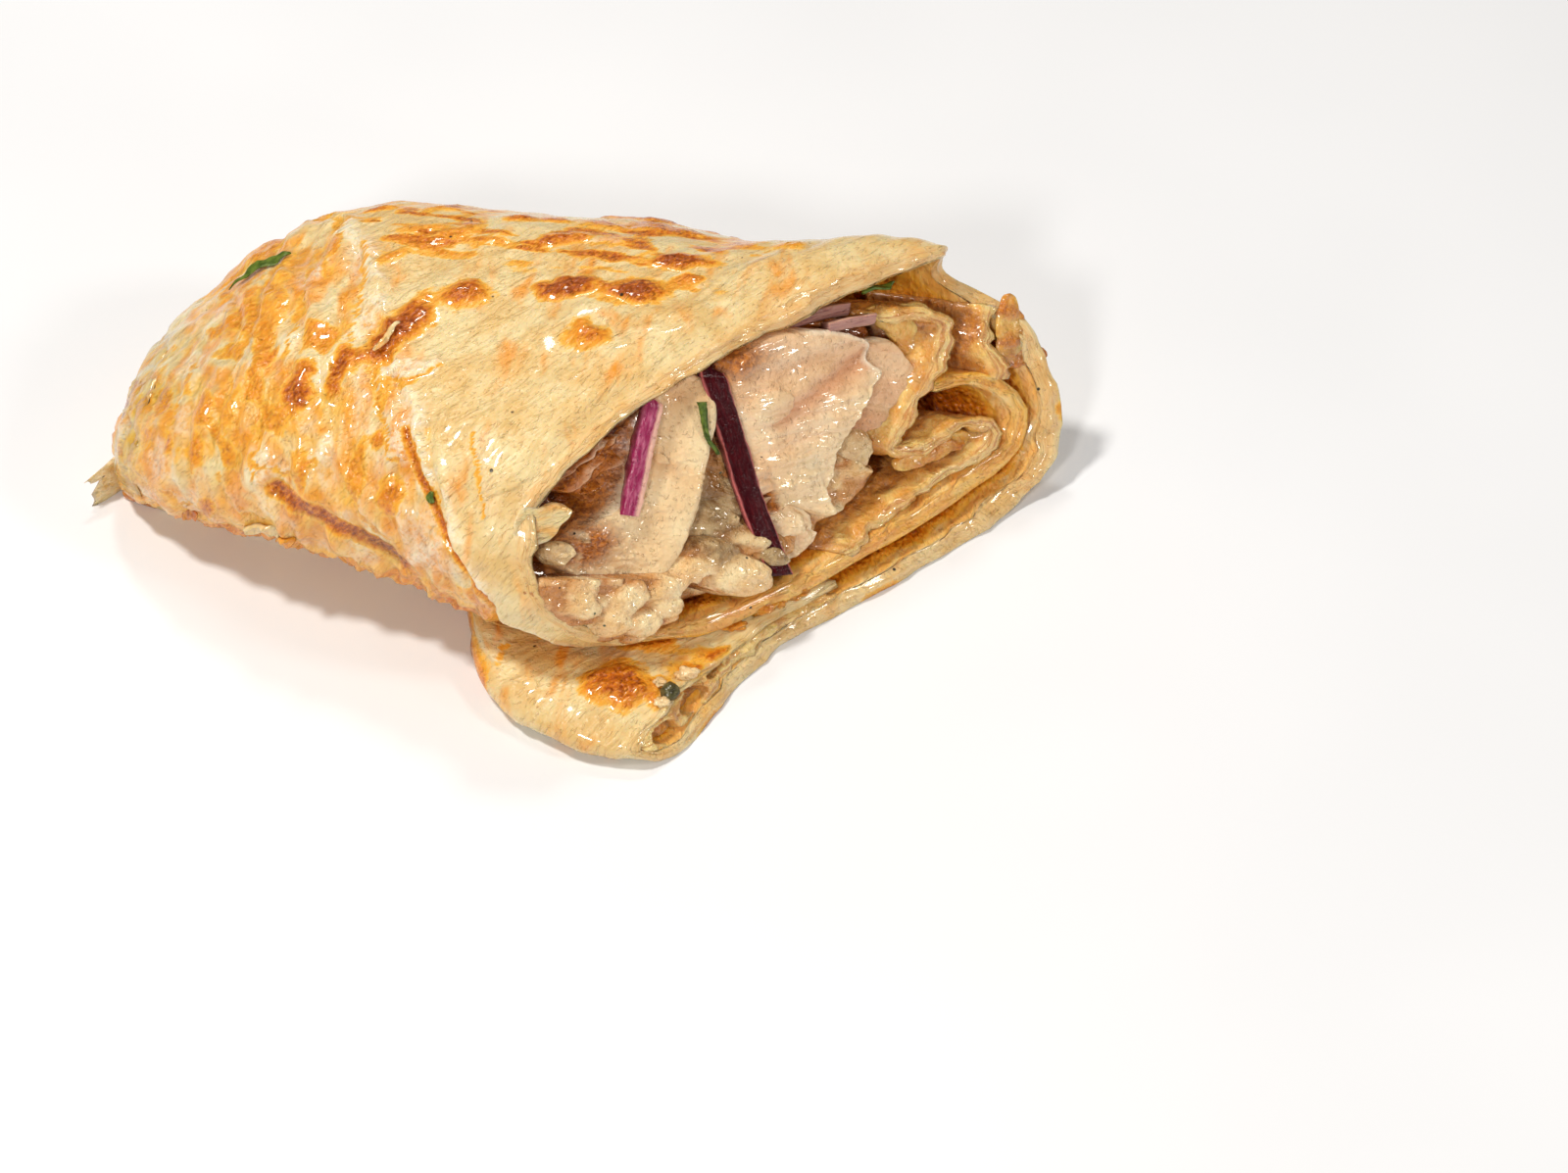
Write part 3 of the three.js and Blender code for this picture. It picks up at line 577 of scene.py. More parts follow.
def torn_marks(sheet, x, run, tall, base):
    """Steps where a torn layer ends: how far they rise, how white they are, and the painted shadow below
    them.
    """
    lift, white, brown = np.zeros((3, *x.shape))
    ragged = 0.75 * rough(base, 2.2, 3, 15, 0.6)
    for stops, height, fall, pale in TORN:
        nearest, signed, along = along_stops(stops, sheet, x, run, tall)
        here = span(along, 0, 0.15, 1, 0.15) * (nearest < 3 * fall)
        signed = signed + ragged
        past = np.maximum(signed, 0)
        lift = np.maximum(lift, height * ease(signed / 0.7) * np.exp(-past / fall) * here)
        white = np.maximum(white, pale * here * ease(signed / 0.4) * np.exp(-past / 1.6))
        # The brown band on the low side of the step is the painted shadow of the raised layer.
        brown = np.maximum(brown, 0.4 * here * ease(1 + signed / 1.2) * (signed < 0.3))
    return lift, white, brown


def toast_marks(sheet, x, run, tall, base):
    """How toasted each point is, and how far its blister rises."""
    toast, rise = np.zeros((2, *x.shape))
    wobble = rough(base, 2.4, 3, 11)
    fine = rough(base, 0.9, 2, 13)
    for row, mark_x, length, width, turn, dark, lift in TOASTED:
        across = (run - sheet.run_at(sheet.knot_at(row))) * tall
        near = (np.abs(x - mark_x) < length) & (np.abs(across) < length)
        if not near.any():
            continue
        reach = reach_to(x[near] - mark_x, across[near], length, width, turn)
        reach = reach + 0.34 * wobble[near] + 0.16 * fine[near]
        toast[near] = np.maximum(toast[near], ease((1.75 - reach) / 1.5) * dark)
        bubbles = 1 + 0.35 * fine[near]
        rise[near] = np.maximum(rise[near], ease((1.3 - reach) / 0.8) * lift * bubbles)
    return toast, rise


def crease_marks(sheet, x, run, tall):
    """How dark the creases are inside, as painted shade, and how deep they lie."""
    toast, dip = np.zeros((2, *x.shape))
    for stops, width, depth, dark in CREASES:
        nearest, _, _ = along_stops(stops, sheet, x, run, tall)
        inside = ease(1.25 - nearest / width)
        # The crease's inside is painted dark, as shade.
        toast = np.maximum(toast, inside * dark)
        dip = np.minimum(dip, inside * depth)
    return toast, dip


def bread_relief(sheet, knot, x, side, base, from_cut):
    """The wrap's relief and looks: toast (which also carries painted shade), gold, cut face, flaky white."""
    row = sheet.row_at(knot)
    run = sheet.run_at(knot)
    flat = stack(x, run, 0.0)
    outer = side > 0
    _, tall, _ = body_at(x)
    toast, rise = toast_marks(sheet, x, run, tall, base)
    crease_shade, dip = crease_marks(sheet, x, run, tall)
    torn, torn_white, torn_shadow = torn_marks(sheet, x, run, tall, base)
    puffy = white_marks(sheet, x, run, tall, base)

    # The tail's flaky layer ends at a torn seam.
    seam = np.where(row < 17.5, SEAM_X + SEAM_SLOPE * (16 - row), SEAM_X - 7 + 6 * (row - 17))
    tear = 1.6 * rough(flat, 6.0, 3, 3) + 0.8 * noise(flat, 1.6, 4)
    past = x - seam - tear
    shown = span(row, 8.5, 1.0, 22.5, 1.0)
    tail = ease(0.5 - past / 5.0) * shown

    # The tail is puffy and wrinkled, and the rest is smooth and sags.
    slanted = stack(x + 0.10 * run, run, 0.0)
    puffs = rough(slanted, (3.2, 9.0, 1.0), 2, 21)
    wrinkles = rough(slanted, (1.3, 4.2, 1.0), 2, 22)
    ridges = 1 - creased(noise(slanted, (2.6, 8.0, 1.0), 23)) * 2.6
    pillows = 2.4 * creased(rough(slanted, (4.4, 11.0, 1.0), 2, 26)) - 0.5
    puffed = 0.4 * puffs + 0.15 * wrinkles + 0.14 * ridges + 0.65 * pillows
    diagonal = stack(0.81 * run + 0.58 * x, 0.81 * x - 0.58 * run, 0.0)
    ripple = rough(stack(x + 0.5 * run, run - 0.3 * x, 0.0), (4.5, 2.6, 1.0), 3, 25)
    wet = 2.4 * creased(rough(diagonal, (12.0, 3.4, 1.0), 2, 28), 0.3) - 0.4
    sag = rough(diagonal, (16.0, 6.0, 1.0), 2, 29)
    smooth = 0.08 * ripple + 0.15 * wet + 0.22 * sag
    lift = 0.5 * rough(base, 14.0, 2, 24) + tail * puffed + (1 - tail) * smooth
    lift = lift - 0.85 * ease(0.5 - past / 2.0) * shown + 0.35 * hill(past, 1.2, 1.3) * shown
    lift = lift + rise + dip * shown + torn + 0.35 * puffy
    thinned = 0.7 + 0.9 * span(row, 10.4, 0.8, 14.6, 1.5)
    lift = lift - thinned * ease(1 - from_cut / 4.5) + 0.5 * hill(from_cut, 9.0, 3.6)
    ragged_foot = hill(row, 9.3, 0.5) * ease((66 - x) / 8.0)
    lift = lift + ragged_foot * (0.5 + 0.9 * rough(flat, (2.6, 2.0, 1.0), 3, 30))

    crests = np.clip(0.5 * pillows + 0.5 * ridges, -0.6, 0.8)
    gold = 0.14 + 0.50 * tail + 0.22 * rough(base, 8.0, 3, 41) * (0.5 + tail) - 0.42 * tail * crests
    gold = gold + 0.35 * ease(1 - 2 * np.abs(row - 17.2))
    gold = gold + 0.18 * span(row, 9, 1.5, 13.2, 2.5) * ease((62 - x) / 20.0)
    # Along the foot, where the tube meets the near fold, the gold is partly the bread's own browning and
    # partly painted shade in the crease.
    gold = gold + 0.3 * hill(row, 9.6, 0.8) * ease((80 - x) / 20.0)

    speckle = rough(slanted, (4.4, 8.5, 1.0), 3, 43)
    spots = rough(base, 6.5, 3, 44)
    drift = rough(flat, (5.5, 2.2, 1.0), 3, 46)
    on_tail = 0.5 * tail * ease((speckle - 0.15) / 0.7)
    over_tail = span(row, 15.8, 0.9, 18.6, 0.6) * ease((64 - x) / 15.0) * (0.36 + 0.3 * speckle)
    crown = span(row, 14.7, 0.7, 17.2, 0.6) * span(x, 24, 8.0, 104, 16.0)
    on_crown = 0.75 * crown * ease((drift + 0.05) / 0.8)
    on_back = 0.55 * span(row, 17.6, 1.0, 22.8, 1.0) * ease((spots - 0.25) / 0.55)
    on_floor = 0.6 * span(row, 21.8, 1.0, 27.2, 1.0) * ease((spots + 0.05) / 0.6)
    low_edge = 0.75 * hill(row, 26.9, 0.9) * ease((85 - x) / 25.0) * ease((spots + 0.5) / 0.8)
    # foot: toast along the same crease, partly own browning and partly painted shade
    foot = 0.62 * hill(row, 9.25, 0.42) * ease((70 - x) / 8.0) * ease((spots + 0.9) / 0.9)
    toast = np.maximum.reduce([
        toast, crease_shade * shown, on_tail, over_tail, on_crown, on_back, on_floor, low_edge, foot])
    toast = np.maximum(toast * (1 - 0.5 * torn_white), torn_shadow)
    flaky = hill(past, 0.6, 2.0) * shown * ease((rough(base, 3.0, 2, 45) + 0.6) / 0.7)
    flaky = flaky + 0.6 * tail * ease((-speckle - 0.1) / 0.7)
    flaky = np.maximum.reduce([flaky, torn_white, 0.9 * puffy])
    cut = ease(1 - from_cut / 2.5) * 0.5

    # The inner face darkens further in from the cut, as painted shade deeper inside the roll. What is under
    # the roll and inside it stays calm.
    inner_shade = 0.6 * ease((from_cut - 0.5) / 4.0) + 0.3 * ease((from_cut - 3.0) / 7.0)
    inner_shade = inner_shade * (1 - 0.5 * span(row, 13.0, 2.0, 18.5, 1.0))
    lift = np.where(outer, lift, 0.25 * rough(base, 5.0, 3, 61))
    toast = np.where(outer, toast, inner_shade + 0.22 * ease(rough(base, 4.0, 3, 62) * 0.8))
    gold = np.where(outer, gold, 0.75 + 0.2 * rough(base, 5.0, 2, 63))
    flaky = np.where(outer, flaky, 0.0)
    cut = np.where(outer, cut, 0.35)
    under = ease((1.6 - base[..., 2]) / 1.0) * outer
    lift = lift * (1 - 0.8 * under) * ease((x - TAIL_X) / 2.0) * np.clip(tall, 0.3, 1.0)
    # The bottom turn and the hidden underside of the inner layer turn gold and brown: partly own browning,
    # partly painted shade under the tube.
    inmost = ease((9.4 - row) / 1.0) * outer
    gold = gold + (0.9 - gold) * inmost
    toast = np.maximum(toast, inmost * (0.34 + 0.3 * rough(base, 3.0, 3, 65)))
    hidden = (row < 8.3) | (row > 30.6)
    lift = np.where(hidden & outer, 0.0, lift)
    return lift, unit(stack(toast, gold, cut, flaky))


def bread_rim(row):
    """How pale the cut edge is: the inner and lower layers are browner and see-through."""
    return 1.0 - 0.75 * ease((9.4 - row) / 1.5) - 0.3 * ease((row - 17.5) / 1.5)


def inner_ply_relief(strength, brown):
    """Relief of the crumpled inner layers: amber, oily and bubbly."""
    def relief(sheet, knot, x, side, base, from_cut):
        lumps = rough(base, 3.2, 3, sheet.seed + 2)
        bubbles = np.maximum(rough(base, 1.7, 2, sheet.seed + 3), 0)
        near = ease(1 - from_cut / 20.0)
        lift = strength * (0.5 * lumps + 0.45 * bubbles) * near
        patches = ease((rough(base, 4.0, 3, sheet.seed + 4) + 0.5) / 0.9)
        # toast: the layer's own brown patches, plus painted shade that grows further in from the cut
        toast = brown * patches + 0.7 * ease((from_cut - 0.6) / 4.5)
        gold = 0.65 + 0.3 * rough(base, 4.0, 2, sheet.seed + 5)
        return lift, unit(stack(toast, gold, 0.2, 0.0))
    return relief


def steps(*spans):
    """Values from 0 to 1 from spans of (end, count)."""
    values, start = [0.0], 0.0
    for end, count in spans:
        values += np.linspace(start, end, count + 1)[1:].tolist()
        start = end
    return np.array(values)


# The tail's rings: x and size.
TAIL_RINGS = [(3, 1), (0, 1), (-3, 1), (-5, 1), (-5.9, 0.82), (-6.5, 0.6), (-6.8, 0.35), (-6.9, 0.12)]


def tail_plug():
    """The pinched dough that shuts the tail: a lumpy cap on the middle of the bread's thickness."""
    knots = WRAP.spread([(FRONT_ROW, FLOOR_ROW + 2, 0.9)])
    rings = []
    for x, size in TAIL_RINGS:
        ring = WRAP.points(knots, np.full(len(knots), float(max(x, TAIL_X))), 0.0)
        centre = ring.mean(axis=0)
        ring = centre + (ring - centre) * size
        ring[:, 0] = x
        rings.append(ring)
    rings = np.array(rings)
    wobble = rough(rings, 2.2, 3, 91)
    rings[..., 0] -= 0.45 * wobble
    rings[..., 1] += 0.35 * wobble
    points, wobble = rings.reshape(-1, 3), wobble.ravel()
    looks = stack(np.clip(0.35 * wobble + 0.1, 0, 0.5), unit(0.6 + 0.25 * wobble), 0.0, 0.1)
    return points, tube_faces(len(rings), len(knots)), looks, stack(points[:, 1], points[:, 0], 1.0)


def bread_surface(row, x):
    """Points on the wrap's finished outside, with its outward directions there."""
    knot = WRAP.knot_at(row)
    side = np.ones_like(x)
    base = WRAP.points(knot, x, side)
    along = WRAP.points(knot, x + 0.5, side) - base
    up = WRAP.points(knot + 0.03, x, side) - base
    normal = directions(np.cross(along, up))
    probe = WRAP.points(knot, x, side * 1.3) - base
    normal = normal * np.sign(np.sum(normal * probe, axis=-1, keepdims=True))
    lift, _ = bread_relief(WRAP, knot, x, side, base, WRAP.ends(knot, side) - x)
    return base + normal * lift[..., None], normal


def bread_flake(row, x, turn, outline, above=0.1, tilt=0.0, thick=0.4, waves=0.25, seed=0,
                looks=(0.0, 0.1, 0.0, 0.9)):
    """A thin torn flake that follows the bread: its outline in mm along and up the surface, turned."""
    outline = np.array(outline, float)
    ring = resample(outline, 14 * len(outline), seed, 0.16)
    centre = ring.mean(axis=0)
    tall = float(body_at(np.array(float(x)))[1])
    start = WRAP.run_at(WRAP.knot_at(row))
    layers = []
    for level, sizes in ((1, (0.15, 0.35, 0.55, 0.75, 0.9, 1.0)), (-1, (1.0, 0.75, 0.4, 0.15))):
        for size in sizes:
            flat = centre + (ring - centre) * size
            u, v = turned(flat[:, 0], flat[:, 1], -turn)
            at_x = x + u
            at_row = WRAP.row_at(np.interp(start + v / tall, WRAP.run, WRAP.knots))
            on, out = bread_surface(at_row, at_x)
            bump = waves * rough_flat(flat, 2.2, 3, seed + 2)
            slope = tilt * (flat[:, 1] - outline[:, 1].min())
            edge = 1.0 if size < 1 else 0.35
            off = above + bump + slope + level * thick / 2 * edge
            layers.append(on + out * off[:, None])
    points = np.concatenate(layers)
    place = stack(points[:, 1], points[:, 0], 0.5)
    return points, tube_faces(len(layers), len(ring)), same_looks(looks, points), place


# ---- materials ----
class Shader:
    """A small helper that makes and links the nodes of one material."""

    def __init__(self, name):
        self.material = bpy.data.materials.new(name)
        self.material.use_nodes = True
        self.tree = self.material.node_tree
        self.surface = self.tree.nodes["Principled BSDF"]

    def node(self, kind, inputs=(), **settings):
        made = self.tree.nodes.new("ShaderNode" + kind)
        for key, value in settings.items():
            setattr(made, key, value)
        for socket, value in dict(inputs).items():
            self.set(made.inputs[socket], value)
        return made

    def set(self, socket, value):
        if isinstance(value, bpy.types.NodeSocket):
            self.tree.links.new(value, socket)
        elif isinstance(value, tuple) and len(value) == 3 and socket.type == "RGBA":
            socket.default_value = (*value, 1.0)
        else:
            socket.default_value = value

    def looks(self):
        layer = self.node("Attribute", attribute_name="looks")
        parts = self.node("SeparateColor", {"Color": layer.outputs["Color"]})
        return parts.outputs[0], parts.outputs[1], parts.outputs[2], layer.outputs["Alpha"]

    def place(self, stretch=(1, 1, 1), turn=0.0):
        """Where the point is on its own sheet, in mm, turned and stretched."""
        where = self.node("Attribute", attribute_name="place").outputs["Vector"]
        if turn:
            turning = {"Vector": where, "Angle": math.radians(turn)}
            where = self.node("VectorRotate", turning, rotation_type="Z_AXIS").outputs[0]
        return self.node("VectorMath", {0: where, 1: stretch}, operation="MULTIPLY").outputs[0]

    def position(self):
        """Where the point is, in mm."""
        spot = self.node("TexCoord").outputs["Object"]
        return self.node("VectorMath", {0: spot, 3: 1000.0}, operation="SCALE").outputs[0]

    def noise(self, where, scale, detail=3.0, roughness=0.55, distortion=0.0):
        return self.node("TexNoise", {
            "Vector": where, "Scale": scale, "Detail": detail, "Roughness": roughness,
            "Distortion": distortion}).outputs["Fac"]

    def layers(self):
        """The bread's thin layers, as they show in its cut edge."""
        return self.noise(self.place((0.12, 0.3, 2.6)), 1.0, 3.0, 0.6, 0.3)

    def cells(self, where, scale):
        return self.node("TexVoronoi", {"Vector": where, "Scale": scale}).outputs["Distance"]

    def times(self, first, second):
        return self.node("Math", {0: first, 1: second}, operation="MULTIPLY").outputs[0]

    def plus(self, first, second):
        return self.node("Math", {0: first, 1: second}, operation="ADD").outputs[0]

    def less(self, first, second):
        return self.node("Math", {0: first, 1: second}, operation="SUBTRACT").outputs[0]

    def band(self, value, low, high, to_low=0.0, to_high=1.0):
        ends = {0: value, 1: low, 2: high, 3: to_low, 4: to_high}
        return self.node("MapRange", ends, interpolation_type="SMOOTHSTEP").outputs[0]

    def mix(self, share, first, second):
        return self.node("Mix", {0: share, 6: first, 7: second}, data_type="RGBA").outputs[2]

    def blend(self, value, low, high, first, second):
        """From one colour to another as a value goes from low to high."""
        return self.mix(self.band(value, low, high), first, second)

    def specks(self, base, spacing, size, patches, share, colour):
        """Small specks, from how close they lie, their size, and the size and share of their patches."""
        at = self.position()
        spot = self.band(self.cells(at, spacing), *size)
        patch = self.band(self.noise(at, patches, 1.0), *share)
        return self.mix(self.times(spot, patch), base, colour)

    def beads(self, where, scale, low=0.56, high=0.72):
        """Small raised spots that catch the light."""
        return self.band(self.noise(where, scale, 2.0), low, high)

    def scatter(self, weight, distance, radius):
        """Light that goes a distance in mm into the surface."""
        self.set(self.surface.inputs["Subsurface Weight"], weight)
        self.set(self.surface.inputs["Subsurface Scale"], distance * METRE)
        self.set(self.surface.inputs["Subsurface Radius"], radius)

    def ramp(self, value, stops):
        made = self.node("ValToRGB", {0: value})
        ramp = made.color_ramp
        while len(ramp.elements) < len(stops):
            ramp.elements.new(0.5)
        for element, (at, colour) in zip(ramp.elements, stops):
            element.position = at
            element.color = (*colour, 1.0)
        return made.outputs[0]

    def bump(self, *layers):
        """Bump from (height, distance in mm) layers."""
        normal = None
        for height, distance in layers:
            made = self.node("Bump", {"Height": height, "Strength": 1.0, "Distance": distance * METRE})
            if normal is not None:
                self.set(made.inputs["Normal"], normal)
            normal = made.outputs[0]
        self.set(self.surface.inputs["Normal"], normal)

    def finish(self, colour, roughness, **fixed):
        self.set(self.surface.inputs["Base Color"], colour)
        self.set(self.surface.inputs["Roughness"], roughness)
        for name, value in fixed.items():
            self.set(self.surface.inputs[name.replace("_", " ")], value)
        return self.material


def srgb(*levels):
    """Linear colour from red, green and blue of 0 to 255."""
    shares = [level / 255 for level in levels]
    return tuple(v / 12.92 if v <= 0.04045 else ((v + 0.055) / 1.055) ** 2.4 for v in shares)


RIM_TURN = -36.0  # degrees from the sheet's path to the way its cut edge runs


def bread_material():
    s = Shader("bread")
    toast, gold, cut, flaky = s.looks()
    at = s.position()
    streaks = s.noise(s.place((0.10, 0.22, 0.5)), 1.0, 2.5, 0.5, 0.6)
    blotch = s.noise(at, 0.13, 3.0, 0.6)
    fine = s.noise(at, 1.0, 4.0, 0.62)
    pale = s.blend(blotch, 0.36, 0.66, srgb(239, 217, 163), srgb(230, 193, 126))
    warm = s.blend(streaks, 0.32, 0.66, srgb(252, 196, 92), srgb(238, 156, 42))
    share = s.plus(gold, s.times(s.less(streaks, 0.5), 2.2))
    share = s.plus(share, s.times(s.less(fine, 0.5), 0.2))
    base = s.blend(share, 0.16, 0.78, pale, warm)
    face = s.blend(blotch, 0.35, 0.65, srgb(243, 206, 146), srgb(231, 181, 108))
    base = s.mix(s.times(cut, 0.85), base, face)
    layered = s.times(s.band(s.layers(), 0.5, 0.62, 0.0, 0.5), s.band(cut, 0.5, 0.9))
    base = s.mix(layered, base, srgb(226, 168, 92))
    base = s.mix(s.times(flaky, s.band(fine, 0.25, 0.6, 0.0, 0.75)), base, srgb(255, 244, 220))
    # toast brings the brown: the bread's own toasting, and painted shade on its inner face, in creases,
    # below torn steps and, in part, at the foot.
    flecks = s.noise(s.place((0.7, 1.5, 1.0), RIM_TURN), 1.0, 4.0, 0.65)
    uneven = s.times(s.less(flecks, 0.5), s.band(toast, 0.35, 0.85, 0.6, 1.6))
    shown = s.times(s.plus(toast, uneven), s.band(toast, 0.02, 0.25))
    brown = s.ramp(shown, [
        (0.0, srgb(253, 210, 120)), (0.28, srgb(249, 184, 68)), (0.52, srgb(234, 150, 34)),
        (0.78, srgb(206, 110, 8)), (1.0, srgb(162, 74, 2))])
    base = s.blend(shown, 0.02, 0.3, base, brown)
    base = s.specks(base, 0.19, (0.075, 0.045), 0.23, (0.5, 0.56), srgb(58, 44, 28))

    smooth = s.band(gold, 0.5, 0.2)
    whole = s.less(1.0, s.times(cut, 0.7))
    diagonal = s.noise(s.place((0.10, 0.34, 1.0), RIM_TURN), 1.0, 2.0, 0.5, 1.2)
    lumps = s.noise(s.place((0.20, 0.38, 1.0)), 1.0, 2.0, 0.5, 0.4)
    dimples = s.noise(at, 1.3, 2.0, 0.5, 0.4)
    sparkle = s.band(s.noise(s.place((0.7, 2.2, 2.0), RIM_TURN), 1.0, 2.0, 0.5, 0.5), 0.56, 0.7)
    bubbles = s.times(s.band(s.cells(at, 0.85), 0.6, 0.1), s.band(toast, 0.25, 0.7))
    s.bump(
        (s.times(diagonal, s.times(smooth, whole)), 1.1),
        (s.times(s.layers(), cut), 0.5),
        (s.times(lumps, s.less(1.0, smooth)), 1.7),
        (s.times(dimples, whole), 0.17),
        (sparkle, 0.16),
        (bubbles, 0.3))
    s.scatter(0.35, 1.9, (1.0, 0.66, 0.34))
    gloss = s.band(fine, 0.3, 0.75, 0.30, 0.46)
    return s.finish(base, gloss, IOR=1.45, Coat_Weight=0.65, Coat_Roughness=0.09)


def ply_material():
    """The oily layers inside: amber and see-through, with brown patches, and painted shade that browns them
    further in from the cut.
    """
    s = Shader("inner_ply")
    toast, _, cut, _ = s.looks()
    at = s.position()
    blotch = s.noise(at, 0.22, 4.0, 0.6)
    fine = s.noise(at, 0.9, 4.0, 0.62)
    amber = s.blend(blotch, 0.36, 0.64, srgb(250, 204, 116), srgb(228, 156, 62))
    brown = s.blend(fine, 0.35, 0.65, srgb(210, 128, 38), srgb(160, 84, 18))
    face = s.blend(blotch, 0.35, 0.7, srgb(250, 216, 150), srgb(236, 184, 108))
    # toast brings the brown: own patches, and painted shade deep in from the cut and inside the fold's air
    # pockets
    base = s.blend(toast, 0.15, 0.8, amber, brown)
    base = s.mix(s.times(cut, 0.85), base, face)
    layered = s.times(s.band(s.layers(), 0.48, 0.6, 0.0, 0.7), s.band(cut, 0.4, 0.9))
    base = s.mix(layered, base, srgb(196, 120, 44))
    s.bump(
        (s.times(s.layers(), cut), 0.6),
        (s.noise(at, 0.45, 3.0, 0.6, 0.8), 0.7),
        (s.band(s.cells(at, 0.8), 0.6, 0.1), 0.14),
        (s.beads(at, 1.4), 0.08))
    s.scatter(0.45, 2.4, (1.0, 0.7, 0.4))
    return s.finish(base, s.band(fine, 0.3, 0.7, 0.2, 0.38), IOR=1.45, Coat_Weight=0.8, Coat_Roughness=0.08)


def sauce_material():
    s = Shader("sauce")
    tint, dark, grey, _ = s.looks()
    at = s.position()
    blotch = s.noise(at, 0.22, 3.0, 0.6)
    fine = s.noise(at, 1.4, 3.0, 0.6)
    base = s.blend(blotch, 0.35, 0.68, srgb(253, 226, 176), srgb(238, 194, 132))
    # tint and dark carry painted shade in the hollows and depths; grey is the grey sauce.
    base = s.mix(tint, base, srgb(204, 132, 58))
    base = s.mix(grey, base, s.blend(blotch, 0.4, 0.6, srgb(190, 162, 116), srgb(134, 98, 56)))
    base = s.blend(dark, 0.1, 0.8, base, s.blend(blotch, 0.4, 0.62, srgb(162, 82, 16), srgb(92, 38, 6)))
    base = s.specks(base, 0.42, (0.13, 0.08), 0.33, (0.55, 0.6), srgb(70, 78, 34))
    base = s.specks(base, 0.31, (0.085, 0.05), 0.41, (0.5, 0.56), srgb(52, 40, 30))
    s.bump((s.noise(at, 0.6, 3.0, 0.6), 0.9), (fine, 0.12), (s.beads(at, 1.1), 0.18))
    s.scatter(0.25, 1.2, (1.0, 0.8, 0.6))
    return s.finish(base, s.band(fine, 0.3, 0.7, 0.18, 0.36), IOR=1.45, Coat_Weight=0.8, Coat_Roughness=0.07)


def chicken_material(name, pale, blush, shade, coat=0.7):
    s = Shader(name)
    tint, edge, sauce, brown = s.looks()
    at = s.position()
    fine = s.noise(at, 1.3, 4.0, 0.6)
    base = s.blend(s.noise(at, 0.13, 3.0, 0.55), 0.36, 0.64, pale, blush)
    # tint and brown carry painted shade as well as sauce stains; edge is the pale torn edge, in part a
    # painted highlight.
    base = s.mix(tint, base, shade)
    base = s.mix(s.times(edge, 0.85), base, srgb(255, 240, 216))
    base = s.mix(s.times(sauce, 0.85), base, srgb(248, 222, 176))
    base = s.blend(brown, 0.1, 0.9, base, s.blend(fine, 0.35, 0.65, srgb(204, 124, 44), srgb(140, 72, 14)))
    base = s.specks(base, 0.26, (0.08, 0.045), 0.31, (0.53, 0.58), srgb(60, 44, 32))
    s.bump((s.noise(at, 0.42, 3.0, 0.5, 0.2), 0.8), (fine, 0.1), (s.beads(at, 1.2), 0.18))
    s.scatter(0.25, 1.3, (1.0, 0.75, 0.55))
    gloss = s.band(fine, 0.3, 0.7, 0.24, 0.42)
    return s.finish(base, gloss, IOR=1.42, Coat_Weight=coat, Coat_Roughness=0.08)


def onion_material(name, face, side, spots, gloss, shine=1.42):
    s = Shader(name)
    edge, _, _, _ = s.looks()
    at = s.position()
    lines = s.noise(s.place((0.35, 3.0, 1.0)), 1.0, 3.0, 0.55)
    base = s.blend(lines, 0.4, 0.8, face, spots)
    base = s.mix(edge, base, side)
    s.bump((lines, 0.25), (s.noise(at, 1.5, 2.0), 0.08), (s.beads(at, 1.6, 0.58), 0.14))
    s.scatter(0.2, 1.0, (1.0, 0.4, 0.4))
    return s.finish(base, gloss, IOR=shine)


def herb_material(name, light, deep, gloss):
    s = Shader(name)
    veins = s.noise(s.position(), 0.9, 3.0, 0.6)
    s.bump((veins, 0.2))
    return s.finish(s.blend(veins, 0.3, 0.7, light, deep), gloss, IOR=1.4)


# ---- the bread's pieces ----
def bread_piece():
    """The whole wrap with its pinched tail."""
    outside = [(0, 8.4, 2.8), (8.4, 17.9, 0.52), (17.9, 21.5, 0.95), (21.5, 26.2, 1.9), (26.2, 30.2, 0.62),
               (30.2, LAST_ROW, 1.8)]
    inside = [(0, 8.4, 1.5), (8.4, 16.5, 1.9), (16.5, 21.5, 1.2), (21.5, 26.8, 2.2), (26.8, LAST_ROW, 2.8)]
    along = steps((0.045, 16), (0.80, 108), (0.92, 22), (1.0, 24))
    return join(sheet_piece(WRAP, outside, inside, along, bread_relief, tucked, bread_rim), tail_plug())


def inner_plies():
    """The crumpled layer inside the mouth and the shard behind it."""
    pleat, shard = [(0, 14, 0.55)], [(0, 3, 0.4)]
    return join(
        sheet_piece(PLEAT, pleat, pleat, steps((0.55, 8), (1.0, 52)), inner_ply_relief(1.0, 0.5)),
        sheet_piece(SHARD, shard, shard, steps((1.0, 34)), inner_ply_relief(0.6, 0.7)))


# Where the near fold's two layers face each other: the path row of the lower one and of the upper one.
FOLD_CORE = [
    (FLOOR_ROW + 4.55, FLAP_ROW + 0.35), (FLOOR_ROW + 4, FLAP_ROW + 1), (FLOOR_ROW + 3.21, FLAP_ROW + 2),
    (FLOOR_ROW + 2.5, FLAP_ROW + 3), (FLOOR_ROW + 1.78, FLAP_ROW + 4), (FLOOR_ROW + 1.28, FLAP_ROW + 5),
]


CORE_DEPTH, CORE_SIDE, CORE_LEAST = 9.0, -0.7, 0.1
AIR_POCKETS = ((4.6, 5.0), (12.5, 6.5))  # where they lie along the fold, and their length


